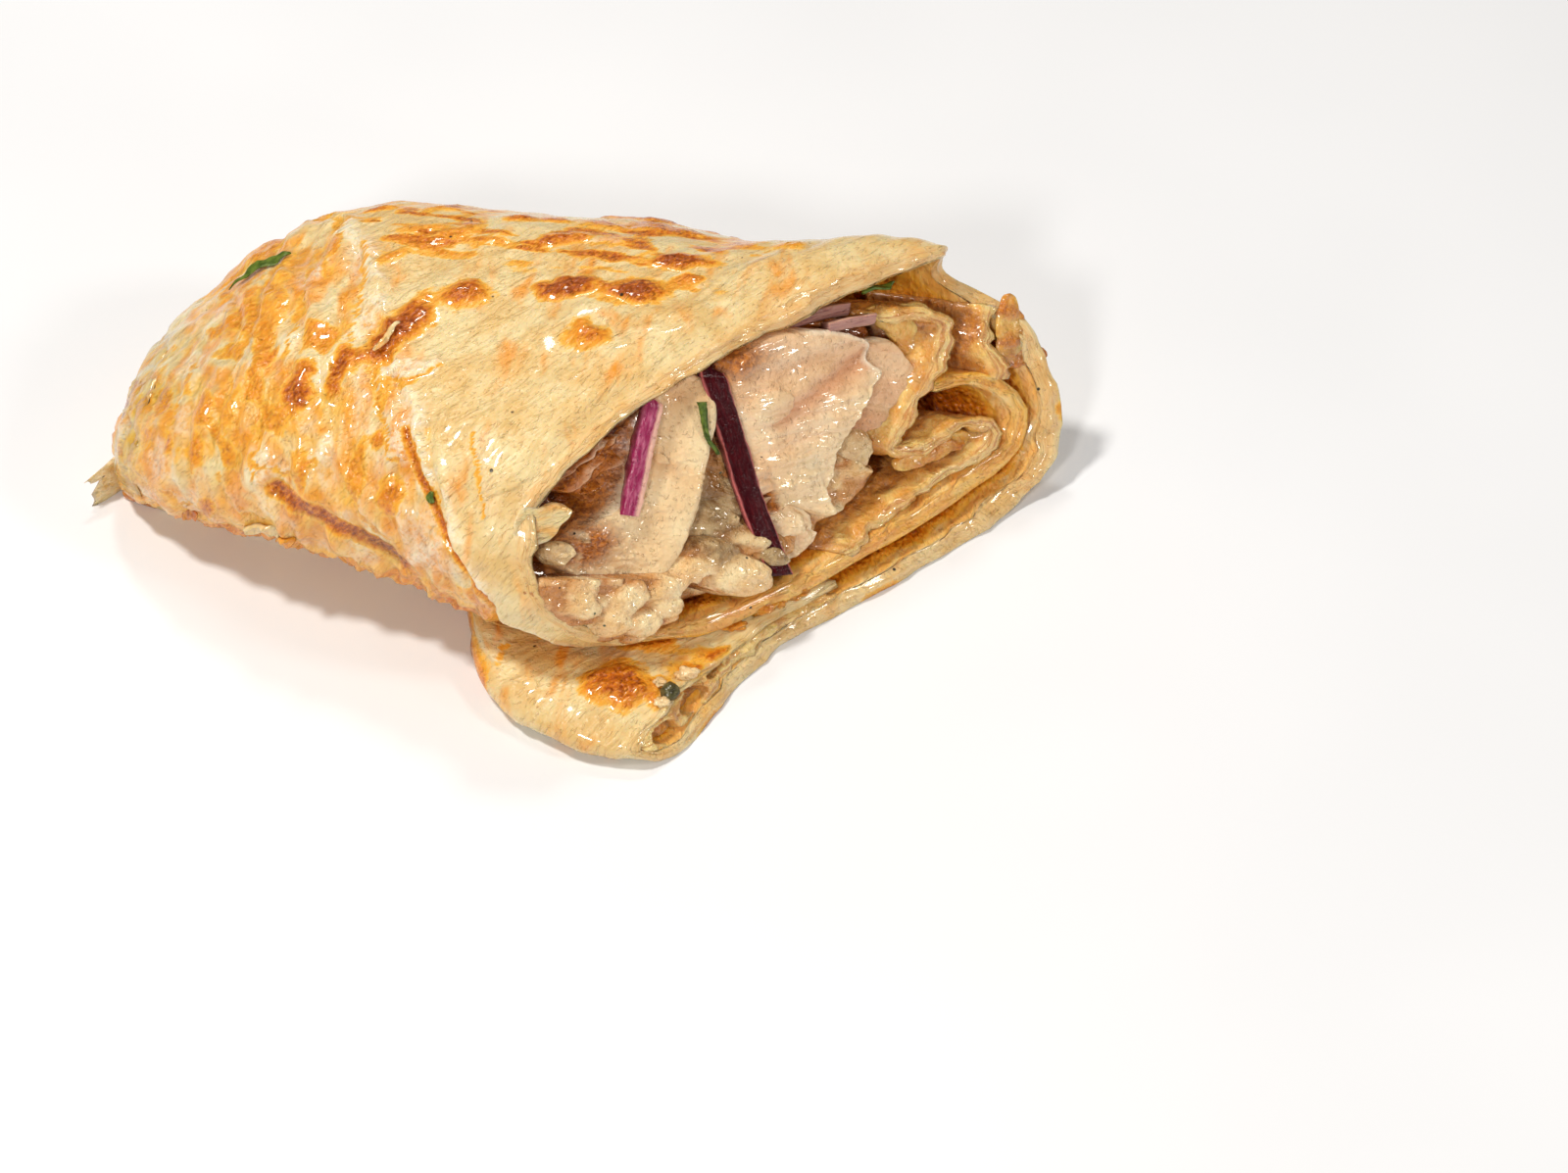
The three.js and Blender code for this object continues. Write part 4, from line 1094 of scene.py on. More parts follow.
def fold_core():
    """The soft bread that joins the two layers of the near fold, with air pockets in its cut edge."""
    stations = np.array(FOLD_CORE)
    at = np.linspace(0, len(stations) - 1, 150)
    low_row, high_row = spline(np.arange(len(stations), dtype=float), stations, at).T
    low_knot, high_knot = WRAP.knot_at(low_row), WRAP.knot_at(high_row)
    inner = -np.ones(len(at))
    inside = CORE_SIDE * np.ones(len(at))
    low_x, high_x = WRAP.ends(low_knot, inner), WRAP.ends(high_knot, inner)
    run = WRAP.run_at(high_knot)
    shares = np.linspace(0, 1, 16)
    rings, looks = [], []
    for back, order in ((0.0, shares), (CORE_DEPTH, shares[::-1])):
        for share in order:
            x = low_x * (1 - share) + high_x * share - back
            spot = WRAP.points(low_knot, x, inside) * (1 - share) + WRAP.points(high_knot, x, inside) * share
            across = stack(run, 3.0 * share, 0.0)
            pocket = ease((noise(across, 3.6, 501) - 0.3) / 0.25) * ease(share * 5) * ease((1 - share) * 5)
            for mark, length in AIR_POCKETS:
                reach = np.hypot((run - run[0] - mark) / length * 2, (share - 0.5) / 0.36)
                pocket = np.maximum(pocket, ease((1.15 - reach) / 0.3))
            grain = rough(stack(run, 4.0 * share, 0.0), 1.6, 3, 502)
            front = 0.5 * math.sin(math.pi * share) + 0.3 * grain - 2.6 * pocket
            rings.append(spot + CUT_NORMAL * (front if back == 0 else 0 * front)[:, None])
            # The air pockets are painted browner and less pale inside, as shade in the holes.
            toast = unit(0.1 + 0.5 * pocket + 0.1 * grain)
            looks.append(stack(toast, 0.75, 0.8 - 0.5 * pocket, 0.0))
    points, looks = np.stack(rings, axis=1), np.stack(looks, axis=1)
    points[..., 2] = np.maximum(points[..., 2], CORE_LEAST)
    points, looks = points.reshape(-1, 3), looks.reshape(-1, 4)
    return points, tube_faces(len(at), len(rings)), looks, points


def tail_tag():
    """The pale torn flake at the tail's tip."""
    root = np.array([(-1.5, -1.6, 9.0), (-1.5, -2.6, 0.8)])
    tip = np.array([(-7.2, -9.6, 6.2), (-6.4, -8.4, 0.9)])
    out, down = np.meshgrid(np.linspace(0, 1, 26), np.linspace(0, 1, 18), indexing="ij")
    middle = ((root[0] * (1 - down[..., None]) + root[1] * down[..., None]) * (1 - out[..., None])
              + (tip[0] * (1 - down[..., None]) + tip[1] * down[..., None]) * out[..., None])
    wave = rough(middle, 2.6, 3, 511)
    ragged = 1 + 0.16 * rough(stack(down * 6.0, 0.0, 0.0), 1.0, 3, 512) * out
    middle = root[0] + (middle - root[0]) * ragged[..., None]
    facing = np.array([-0.55, 0.42, -0.72])
    half = 0.34 * (1 - 0.6 * out)
    sheets = [middle + facing * (0.5 * wave + half * side)[..., None] for side in (1, -1)]
    points = np.concatenate([sheets[0], sheets[1][:, ::-1]], axis=1)
    points[..., 2] = np.maximum(points[..., 2], 0.05)
    faces = tube_faces(*points.shape[:2])
    points = points.reshape(-1, 3)
    return points, faces, same_looks((0.0, 0.2, 0.8, 0.6), points), points


def pebble(centre, radii, turn, seed, looks, rugged=0.25):
    """A small rounded bit: its middle and three radii in mm, its turn and its four looks."""
    rows, count, pole = 16, 26, 0.08
    down = np.linspace(pole, math.pi - pole, rows)
    around = np.linspace(0, 2 * math.pi, count, endpoint=False)
    down, around = np.meshgrid(down, around, indexing="ij")
    ball = stack(np.sin(down) * np.cos(around), np.sin(down) * np.sin(around), np.cos(down))
    ball = ball * (1 + rugged * rough(ball * 2.0 + 5.0 * seed, 1.3, 3, seed))[..., None] * np.array(radii)
    along, across = turned(ball[..., 0], ball[..., 1], -turn)
    points = (stack(along, across, ball[..., 2]) + np.array(centre)).reshape(-1, 3)
    return points, tube_faces(rows, count), same_looks(looks, points), points


def on_bread(row, x, above=0.0):
    """A spot on the bread's finished outside."""
    at, out = bread_surface(np.array([float(row)]), np.array([float(x)]))
    return at[0] + out[0] * above


# ---- the filling ----
def resample(outline, count, seed=0, ragged=0.0):
    """A closed outline as many points, evenly spaced, with a ragged edge."""
    outline = np.array(outline, float)
    closed = np.vstack([outline[-1:], outline, outline[:2]])
    knots = np.arange(len(closed), dtype=float)
    fine = spline(knots, closed, np.linspace(1, len(outline) + 1, 2 * FINE_STEPS))
    run = run_along(fine)
    at = np.linspace(0, run[-1], count, endpoint=False)
    ring = np.stack([np.interp(at, run, fine[:, k]) for k in range(2)], axis=-1)
    if ragged:
        centre = ring.mean(axis=0)
        out = (ring - centre) / (np.linalg.norm(ring - centre, axis=1, keepdims=True) + 1e-6)
        jitter = rough_flat(ring, 3.0, 3, seed, 0.6)
        ring = ring + out * (ragged * jitter)[:, None]
    return ring


def chunk_piece(outline, sink, dome, deep, surface, count=260, rows=64, seed=0, ragged=0.5, corner=1.2,
                back=9, shade=3, shaded=0.85, centre=None):
    """A solid with a finely modelled face on the cut and sides that run back into the roll."""
    ring = resample(outline, count, seed, ragged)
    centre = ring.mean(axis=0) if centre is None else np.array(centre)
    points, looks = [], []
    for k in range(rows):
        size = (k + 0.6) / rows
        flat = centre + (ring - centre) * size
        inset = (1 - size) * np.linalg.norm(ring - centre, axis=1)
        edge = unit(inset / corner)
        rounded = corner * (np.sqrt(1 - (1 - edge) ** 2) - 1)
        forward, look = surface(flat, inset)
        height = dome * (1 - size**2) + rounded + forward * ease(inset / 0.8)
        points.append(stack(cut_x(*flat.T) - sink + height, flat[:, 0], flat[:, 1]))
        looks.append(look)
    for k in range(1, back + 1):
        share = k / back
        size = 1.0 - 0.25 * share**2
        flat = centre + (ring - centre) * size
        wobble = 0.25 * rough(stack(flat[:, 0], flat[:, 1], share * deep), 3.0, 2, seed + 9)
        x = cut_x(*flat.T) - sink - corner - share * deep
        points.append(stack(x, flat[:, 0] + wobble, flat[:, 1] + wobble))
        # The sides running back raise the look at index shade, more further back: in the chicken pieces and
        # the sauce this is painted shade.
        side_look = looks[rows - 1].copy()
        darker = min(1.0, 0.25 + 1.6 * share * deep / 6.0) * shaded
        side_look[:, shade] = np.maximum(side_look[:, shade], darker)
        looks.append(side_look)
    points = np.concatenate(points)
    return points, tube_faces(rows + back, count, reverse=True), np.concatenate(looks), points


def strands(flat, degrees, width, length, seed):
    """Fibre ridges that run at an angle across a face."""
    along, across = turned(flat[:, 0], flat[:, 1], degrees)
    bend = 0.8 * noise(stack(along, across, 0.0), 7.0, seed + 3)
    return rough(stack(along / length, (across + bend) / width, 0.0), 1.0, 3, seed, 0.55)


def large_chicken():
    outline = [
        (2.2, 41.4), (7.0, 42.0), (12.0, 41.2), (15.6, 39.0), (17.9, 36.6), (18.9, 34.5), (17.3, 32.6),
        (17.6, 29.8), (15.3, 28.4), (12.0, 26.8), (9.6, 24.5), (6.3, 22.8), (4.1, 20.1), (2.9, 18.7),
        (0.8, 17.2), (-0.6, 14.0), (-1.8, 15.6), (-3.0, 17.8), (-4.6, 18.4), (-6.8, 18.2), (-7.4, 20.6),
        (-5.7, 25.5), (-3.9, 29.5), (-2.4, 33.4), (-0.6, 38.0),
    ]

    def surface(flat, inset):
        y, z = flat.T
        fibres = strands(flat, -16, 1.5, 9.0, 101)
        lumps = rough_flat(flat, 4.5, 2, 102)
        low = ease((28 - z + 0.3 * y) / 6.0)
        ribs = creased(strands(flat, -18, 2.2, 12.0, 106), 0.2) * span(z, 15, 3.0, 30, 4.0)
        blobs = np.maximum(rough(stack(y, z, 3.0), 2.4, 2, 103) - 0.1, 0) * low
        hollow = 3.0 * round_hill(y, z, -5.2, 20.2, 1.2, 1.2)
        valley = hill(z - 0.13 * (y - 3), 31.0, 1.7) * ease((y + 1) / 4.0)
        slab = ease((1.3 - np.hypot((y - 2.4) / 2.6, (z - 33.4) / 2.2)) / 0.3)
        right = ease((y - (z - 20) * 0.5 - 1.0) / 3.0)
        lip = hill(inset, 0, 0.9) * right
        height = 0.22 * fibres + 0.5 * lumps + 0.9 * blobs - hollow - 0.9 * valley + 0.5 * slab + 0.9 * ribs
        height = height + 0.5 * lip + 0.8 * span(z, 22, 4.0, 29, 4.0)
        # The pale rim on the right is partly the meat's torn edge and partly a painted highlight where it
        # faces the light.
        edge = ease(1 - inset / 1.1) * right
        sauce = unit(0.8 * low + 0.25 * ease(lumps) + 0.5 * slab - 0.2)
        # Orange-brown at the top by the rim is partly a sauce stain and partly painted shade under the rim;
        # the hole and a band down the left side are painted shade.
        brown = 0.8 * round_hill(y, z, 3.0, 41.8, 6.4, 4.2) + 0.8 * ease(hollow / 1.6)
        brown = brown + 0.45 * ease(1.6 - np.abs(y - (z - 31) * 0.33 + 2.4) * 0.9) * ease((30 - z) / 6.0)
        # tint is painted shade: in the valley, towards the rim and between the fibres.
        tint = unit(0.8 * valley + 0.18 * ease((z - 33) / 3.0) + 0.2 * np.maximum(-fibres, 0))
        return height, stack(tint, edge, sauce, np.clip(brown, 0, 0.9))

    def lower(flat, inset):
        lumps = rough_flat(flat, 2.6, 3, 113)
        edge = ease(1 - inset / 1.0) * ease((flat[:, 0] + 5.5) / 2.0)
        # Hollows between the lumps are painted browner, as shade.
        return 0.9 * lumps, stack(unit(0.2 - 0.4 * lumps), edge, 0.6, np.clip(-0.5 * lumps, 0, 0.6))

    below = [
        (-6.4, 20.4), (-3.0, 19.4), (-1.7, 16.2), (-1.5, 14.4), (-2.6, 12.6), (-2.5, 11.7), (-4.2, 10.6),
        (-6.1, 10.0), (-8.6, 10.4), (-9.4, 13.0), (-8.4, 17.6),
    ]
    return join(
        chunk_piece(outline, 0.1, 1.0, 24.0, surface, 520, 90, 111, 0.22, 0.5),
        chunk_piece(below, 1.3, 0.9, 12.0, lower, 260, 40, 115, 0.3, 0.7))


def side_chicken():
    outline = [
        (18.4, 35.0), (20.0, 33.8), (22.2, 32.4), (22.6, 29.4), (22.2, 25.4), (20.0, 24.0), (16.6, 22.1),
        (14.3, 21.0), (12.5, 21.4), (9.8, 21.6), (8.0, 23.5), (12.0, 29.0), (15.0, 32.0),
    ]

    def surface(flat, inset):
        fibres = strands(flat, -40, 1.6, 8.0, 121)
        lumps = rough_flat(flat, 4.0, 2, 122)
        height = 0.2 * fibres + 0.3 * lumps + 0.14 * (flat[:, 0] - 14)
        edge = 0.9 * ease(1 - inset / 0.7) * ease((flat[:, 0] - 13) / 3.0)
        # Tint and brown rise towards the big chicken: partly sauce, partly the painted shadow it casts.
        tint = unit(0.9 - 0.05 * (flat[:, 0] - 12) + 0.2 * fibres)
        return height, stack(tint, edge, 0.3, np.clip(0.6 - 0.08 * (flat[:, 0] - 10), 0, 0.6))
    return chunk_piece(outline, 2.2, 0.3, 14.0, surface, 300, 48, 131, 0.16, 0.4)


def left_chicken():
    outline = [
        (-6.7, 41.2), (-1.0, 41.2), (-4.0, 35.4), (-7.0, 30.0), (-10.2, 26.4), (-12.4, 23.4),
        (-15.4, 21.2), (-18.4, 18.4), (-24.0, 18.6), (-29.3, 22.0), (-30.6, 26.2), (-25.7, 28.5),
        (-19.7, 29.4), (-13.5, 34.0),
    ]

    def surface(flat, inset):
        y, z = flat.T
        fibres = strands(flat, 52, 2.4, 10.0, 141)
        lumps = rough_flat(flat, 5.0, 2, 142)
        crest = z - 28.6 - 0.98 * (y + 12.5)
        ridge = 2.2 * hill(crest, 0, 2.4)
        left = ease((crest - 0.4) / 4.0)
        wet = np.maximum(rough(stack(y, z, 5.0), 2.0, 3, 143), 0)
        bulges = creased(rough_flat(flat, 3.6, 2, 145), 0.15)
        oily = round_hill(y, z, -27.0, 26.6, 4.8, 4.4)
        beside_strip = round_hill(y, z, -12.4, 32.4, 1.8, 3.6)
        beads = np.maximum(rough(stack(y, z, 9.0), 0.9, 2, 147) - 0.05, 0)
        height = 0.1 * fibres * (1 - left) + 0.35 * lumps + ridge - 1.5 * left + 0.8 * wet * left
        height = height + 0.3 * bulges + 1.1 * beads * unit(oily + beside_strip)
        # The top, under the rim, and the gaps between fibres are tinted as painted shade.
        tint = unit(0.4 * ease((z - 33) / 5.0) + 0.15 * np.maximum(-fibres, 0) + 0.3 * left)
        edge = ease(1 - inset / 1.2) * 0.7
        sauce = unit(0.5 + 0.5 * lumps)
        brown = left * oily * np.clip(1.1 - 0.9 * wet, 0.2, 1)
        # Brown near the top by the rim is painted shade.
        brown = brown + 0.25 * ease((z - 36) / 4.0) * ease((y + 8) / 4)
        brown = brown + 0.4 * beside_strip * unit(1 - 3 * beads)
        return height, stack(tint, edge, sauce, np.clip(brown, 0, 0.9))
    return chunk_piece(outline, 2.0, 2.0, 20.0, surface, 440, 84, 151, 0.15, 0.8)


def shred_chicken():
    outline = [
        (-18.4, 36.1), (-13.6, 36.6), (-10.4, 35.2), (-14.1, 31.2), (-18.8, 30.7), (-22, 32.1),
        (-22.4, 34.6),
    ]

    def surface(flat, inset):
        fibres = strands(flat, 28, 1.2, 6.0, 161)
        lumps = rough_flat(flat, 3.0, 2, 162)
        # Browner towards the top, in the shade under the rim, and dark in the gaps between fibres: painted
        # shade.
        high = ease((flat[:, 1] - 32.4 - 0.3 * (flat[:, 0] + 17)) / 2.4)
        brown = unit(0.3 + 0.55 * high - 1.1 * fibres)
        height = 1.6 * fibres + 0.8 * lumps - 1.6 * high
        return height, stack(unit(0.2 - 0.6 * fibres), np.clip(fibres, 0, 0.6), 0.0, brown)
    return chunk_piece(outline, 6.6, 0.2, 12.0, surface, 300, 70, 171, 0.6, 0.7)


# Lumps and shreds in the sauce: y, z, length, width, turn in degrees, how far they stand out.
LUMPS = [
    (-24.5, 12.6, 7, 5, 10, 1.6), (-18.5, 12.4, 7, 4.6, -10, 1.8), (-13, 13.4, 6, 5, 20, 1.6),
    (-9.5, 15.6, 6, 6, 0, 2.6), (-6.5, 13.2, 6, 5, 0, 2.0), (-12.5, 17.2, 7, 4, 30, 1.0),
    (-27.5, 15.4, 6, 4, 30, 1.4), (-31, 20.5, 4, 3, 60, 1.2), (-30, 24, 4, 3, 20, 1.0),
    (-6.2, 22, 6, 5, 70, 1.8), (-8.0, 25.5, 5, 3.4, 60, 1.6), (-10.4, 21, 5, 4, 40, 1.4),
    (-4, 27, 4, 3, 60, 1.0), (-26, 30.6, 7, 1.6, 25, 2.6), (-24, 28.8, 8, 1.8, 12, 2.8),
    (-21.5, 31.4, 7, 1.5, 35, 2.4), (-27.5, 27.6, 5, 1.6, 0, 2.2), (-22, 35.5, 4, 1.5, 50, 2.0),
    (-30, 27.4, 4, 1.6, 70, 2.0), (11, 19.8, 4, 3.4, 30, 2.2), (8.4, 18.4, 3.6, 3, 0, 1.8),
    (13.2, 22.6, 3.6, 3, 20, 1.8), (10, 16.2, 4, 2.4, -20, 1.2), (5.2, 13.6, 5, 3, 10, 1.0),
    (21.5, 36, 4, 2.2, -30, 2.0), (12, 39.6, 6, 1.6, -12, 3.0), (2, 40.6, 5, 1.4, -5, 2.0),
]


# Hollows in the sauce, and a few rises: y, z, radius and depth.
HOLLOWS = [
    (-19, 35, 8, 12), (-29, 29, 5, 5), (-30, 23, 5, 1.5), (-27, 13, 8, -2.0), (-10, 15, 6, -3.2),
    (-21, 12.5, 3, 4.5), (15, 32, 9, 6), (-9.5, 28, 4, 1.0),
]


def filling_depth(y, z):
    """How far the sauce lies behind the cut."""
    return FILLING_DEPTH + sum(
        deep * round_hill(y, z, mark_y, mark_z, radius, radius) for mark_y, mark_z, radius, deep in HOLLOWS)


def filling_mass():
    """The sauce: finely modelled at the cut and plain behind it."""
    count, rows, back = 460, 120, 14
    ring = resample(FILLING_OUTLINE, count)
    centre = np.array([-8.0, 24.0])
    middle = float(body_at(np.array(CUT_X))[2])
    points, looks = [], []
    for k in range(rows):
        size = (k + 0.5) / rows
        flat = centre + (ring - centre) * size
        y, z = flat.T
        inset = (1 - size) * np.linalg.norm(ring - centre, axis=1)
        height = -filling_depth(y, z)
        uneven = 0.2 * noise(stack(y, z, 0.0), 1.8, 201)
        for mark_y, mark_z, length, width, turn, out in LUMPS:
            reach = reach_to(y - mark_y, z - mark_z, length, width, turn) + uneven
            height = np.maximum(height, height + out * np.sqrt(unit(1 - reach)))
        billow = creased(rough_flat(flat, 3.2, 2, 202), 0.2)
        grainy = np.maximum(rough_flat(flat, 1.3, 2, 205), 0) * round_hill(y, z, -9.5, 24, 6.0, 6.0)
        height = height + 1.2 * billow - 0.4 + 0.12 * rough_flat(flat, 1.4, 2, 203) + 1.1 * grainy
        height = height - 1.4 * (1 - ease(inset / 1.6))
        # dark is painted shade: the deeper the sauce lies, the more dark it gets, and the hollows right of
        # the big chicken too; tint browns the valleys between the billows, also as painted shade.
        dark = unit((-height - 4.6) / 3.5) + 0.5 * ease((y - 6) / 4.0) * ease((0.5 - billow) / 0.5)
        tint = unit(0.85 - 1.5 * billow + 0.5 * dark)
        grey = round_hill(y, z, -9.5, 22.5, 4.5, 7.0) + 0.6 * round_hill(y, z, -26, 19, 5.0, 4.0)
        points.append(stack(cut_x(y + middle, z) + height, y + middle, z))
        looks.append(stack(tint, unit(dark), unit(grey * (1 - 0.5 * billow)), 1.0))
    front = points[-1][:, 0]
    for k in range(1, back + 1):
        share = (k / back) ** 1.3
        x = front + (FILLING_FROM - front) * share
        wide, tall, mid = body_at(x)
        points.append(stack(x, mid + ring[:, 0] * wide, ring[:, 1] * tall))
        looks.append(looks[rows - 1])
    points = np.concatenate(points)
    return points, tube_faces(rows + back, count, reverse=True), np.concatenate(looks), points


STRIP_TURN = 0.45  # how far the strips' faces turn to the side
STRIP_DEPTH = np.array([-0.45, 0.62, -0.64])

# A strip's section: across it in widths and back from its face in depths.
STRIP_SECTION = [
    (-0.5, 0.55), (-0.5, 0.2), (-0.47, 0.06), (-0.4, 0.0), (-0.3, -0.02), (-0.15, -0.03), (0, -0.03),
    (0.15, -0.03), (0.3, -0.02), (0.4, 0.0), (0.47, 0.06), (0.5, 0.2), (0.5, 0.55), (0.5, 1.0),
    (0.25, 1.04), (-0.25, 1.04), (-0.5, 1.0),
]
STRIP_PALE = {-0.5: 0.3, -0.47: 0.9, 0.47: 0.9, 0.5: 0.5}  # how pale its corners are


def strip_piece(path, sink, width, depth, seed, ragged=0.06, steps_along=90, taper=0.0, pale_from=None):
    """A cut strip of onion: its flat face on the cut, with paler corners or one pale side."""
    path = np.array([(*spot, 0.0)[:3] for spot in path], float)
    knots = np.arange(len(path), dtype=float)
    at = np.linspace(0, len(path) - 1, steps_along)
    middle = spline(knots, path, at)
    bent_back = middle[:, 2]
    middle = middle[:, :2]
    run = np.gradient(middle, axis=0)
    run = run / np.linalg.norm(run, axis=1, keepdims=True)
    across = stack(-run[:, 1], run[:, 0])
    length = run_along(middle)
    rings, looks, place = [], [], []
    for k, (over, behind) in enumerate(STRIP_SECTION):
        wobble = ragged * rough(stack(length, 3.0 * k, 0.0), 1.5, 3, seed)
        slim = 1 - taper * (at / at[-1])
        flat = middle + across * ((over * width * slim) + wobble)[:, None]
        x = cut_x(*flat.T) - sink - bent_back + wobble + STRIP_TURN * over * width * slim
        rings.append(stack(x, flat[:, 0], flat[:, 1]) + STRIP_DEPTH * behind * depth)
        if pale_from is None:
            edge = STRIP_PALE.get(over, 0.0) if behind < 0.3 else 0.0
        else:
            edge = 1.0 if over > pale_from else 0.0
        looks.append(same_looks((edge, 0, 0, 1), length))
        place.append(stack(length, over * width, behind))
    points, looks, place = [
        np.stack(rows, axis=1).reshape(-1, rows[0].shape[1]) for rows in (rings, looks, place)]
    return points, tube_faces(len(at), len(STRIP_SECTION)), looks, place


GREEN = (0, 0, 0, 1)
LEAF_SECTION = [
    (-1, 0.5), (-0.4, 0.75), (0.4, 0.75), (1, 0.5), (1, -0.5), (0.4, -0.75), (-0.4, -0.75), (-1, -0.5),
]


def leaf_piece(y, z, length, width, sink, thick=0.35, steps_along=30):
    """A thin wavy leaf with a notched edge, on the cut."""
    rings = []
    for k in range(steps_along):
        t = k / (steps_along - 1)
        half = width / 2 * (0.15 + 0.85 * math.sin(math.pi * min(max(t, 0.04), 0.96)) ** 0.8)
        half *= 1 + 0.15 * math.sin(t * 20)
        lift = 0.35 * math.sin(2 * math.pi * t)
        rings.append([((t - 0.5) * length, over * half, lift + up * thick + 0.2 * math.sin(6 * t + over))
                      for over, up in LEAF_SECTION])
    along, across, up = np.moveaxis(np.array(rings), -1, 0)
    x = cut_x(y + along, z) - sink - width / 2 + across
    points = stack(x, y + along, z + up - 0.18 * along).reshape(-1, 3)
    return points, tube_faces(*across.shape), same_looks(GREEN, points), points


def mouth_bit(outline, sink, dome, deep, tone, seed, relief=0.35, size=2.2, corner=0.35, ragged=0.3):
    """A small piece at the mouth from its outline on the cut. tone is its four looks."""
    def surface(flat, inset):
        lumps = rough_flat(flat, size, 3, seed)
        looks = same_looks(tone, flat)
        looks[:, 0] = unit(looks[:, 0] + 0.25 * lumps)
        return relief * lumps, looks
    return chunk_piece(outline, sink, dome, deep, surface, 150, 22, seed + 7, ragged, corner, 4)


CREAM, GOLDEN = (0.0, 0.2, 0.3, 0.2), (0.45, 0.6, 0.0, 0.0)
BROWNED, CRUSTY = (0.7, 0.8, 0.0, 0.0), (0.6, 0.8, 0.0, 0.0)

# Torn flakes of the bread: row, x, turn and outline, then how high they lie, their tilt, thickness and
# waves, their seed and their looks.
FLAKES = [
    (13.6, 43.6, 60, [(-3.0, -0.3), (0, -0.5), (3.2, -0.2), (2.8, 0.3), (0, 0.4), (-2.8, 0.2)],
     0.75, 0.1, 0.3, 0.2, 409, (0.0, 0.5, 0.2, 0.2)),
    (9.9, 26.5, 10, [(-3, -1.0), (0, -1.5), (3, -1.0), (3.4, 0.6), (1, 1.4), (-2.4, 1.0)],
     0.2, 0.0, 1.2, 0.8, 415, CREAM),
    (9.75, 30.5, 30, [(-2, -0.8), (0.4, -1.2), (2.2, -0.5), (1.8, 0.9), (-0.6, 1.1)],
     0.3, 0.1, 1.2, 0.7, 417, GOLDEN),
    (9.6, 12.6, 40, [(-1.6, -0.8), (0, -1.6), (1.8, -0.6), (1.4, 0.9), (-0.8, 1.2)],
     0.2, -0.2, 0.6, 0.4, 419, BROWNED),
]
# Browned crusts on the near fold: row, x, three radii and turn.
CRUSTS = [
    (31.0, 105.5, (2.2, 1.4, 0.9), 40), (31.2, 107.6, (1.8, 1.2, 0.9), 20),
    (31.5, 110.2, (2.4, 1.2, 0.8), 45), (30.6, 102.0, (1.8, 1.2, 0.6), 30),
]


def pebbles(table, seed, looks, rugged):
    """Rounded bits on the bread's outside, from row, x, three radii and turn."""
    return [pebble(on_bread(row, x, 0.2), radii, turn, seed + k, looks, rugged)
            for k, (row, x, radii, turn) in enumerate(table)]


def bread_scraps():
    """Torn flakes of the bread's layers on its outside."""
    flakes = [bread_flake(*flake) for flake in FLAKES]
    return join(*flakes, tail_tag(), *pebbles(CRUSTS, 521, CRUSTY, 0.5))


def rim_tab():
    """A thin ragged tab of bread that hangs from the rim on the left of the mouth."""
    outline = [
        (-30.6, 36.6), (-29.0, 35.6), (-26.9, 35.1), (-26.1, 33.9), (-26.6, 33.2), (-28.4, 31.9),
        (-30.0, 30.7), (-31.6, 30.6), (-33.8, 31.6), (-33.0, 34.6),
    ]

    def surface(flat, inset):
        y, z = flat.T
        away = unit((y + 32.6 + 0.5 * (33.5 - z)) / 5.0)
        fibres = strands(flat, 20, 1.4, 5.0, 441)
        height = 1.6 * away**2 + 0.12 * fibres
        return height, stack(0.1, 0.4, 0.4 - 0.3 * away, 0.4 * ease(1 - inset / 0.8))
    return chunk_piece(outline, 1.0, 0.0, 0.7, surface, 260, 34, 443, 0.06, 0.15, 3)


# Lumps of the sauce that has run out: y, z, length, width, turn in degrees, how far they stand out.
FRONT_LUMPS = [
    (-16.2, 13.8, 6.4, 6.6, 0, 3.0), (-16.2, 18.2, 7, 4.4, 20, 1.2), (-19.6, 18.0, 5, 3, -30, 1.0),
    (-24.6, 17.6, 5, 3.4, 10, 1.2), (-26.6, 15.0, 4, 3.6, 0, 1.4), (-30.0, 14.6, 5, 3.8, 10, 1.8),
    (-33.2, 16.6, 4, 4, 60, 1.6), (-29.6, 18.6, 7, 3.4, 30, 1.3), (-34.6, 20.8, 4, 3.4, 80, 1.4),
    (-33.0, 23.4, 5, 3.4, 50, 1.0), (-22.4, 17.4, 6, 3.0, 10, 1.2),
]


MERGE = 3.2  # how sharply the lumps meet


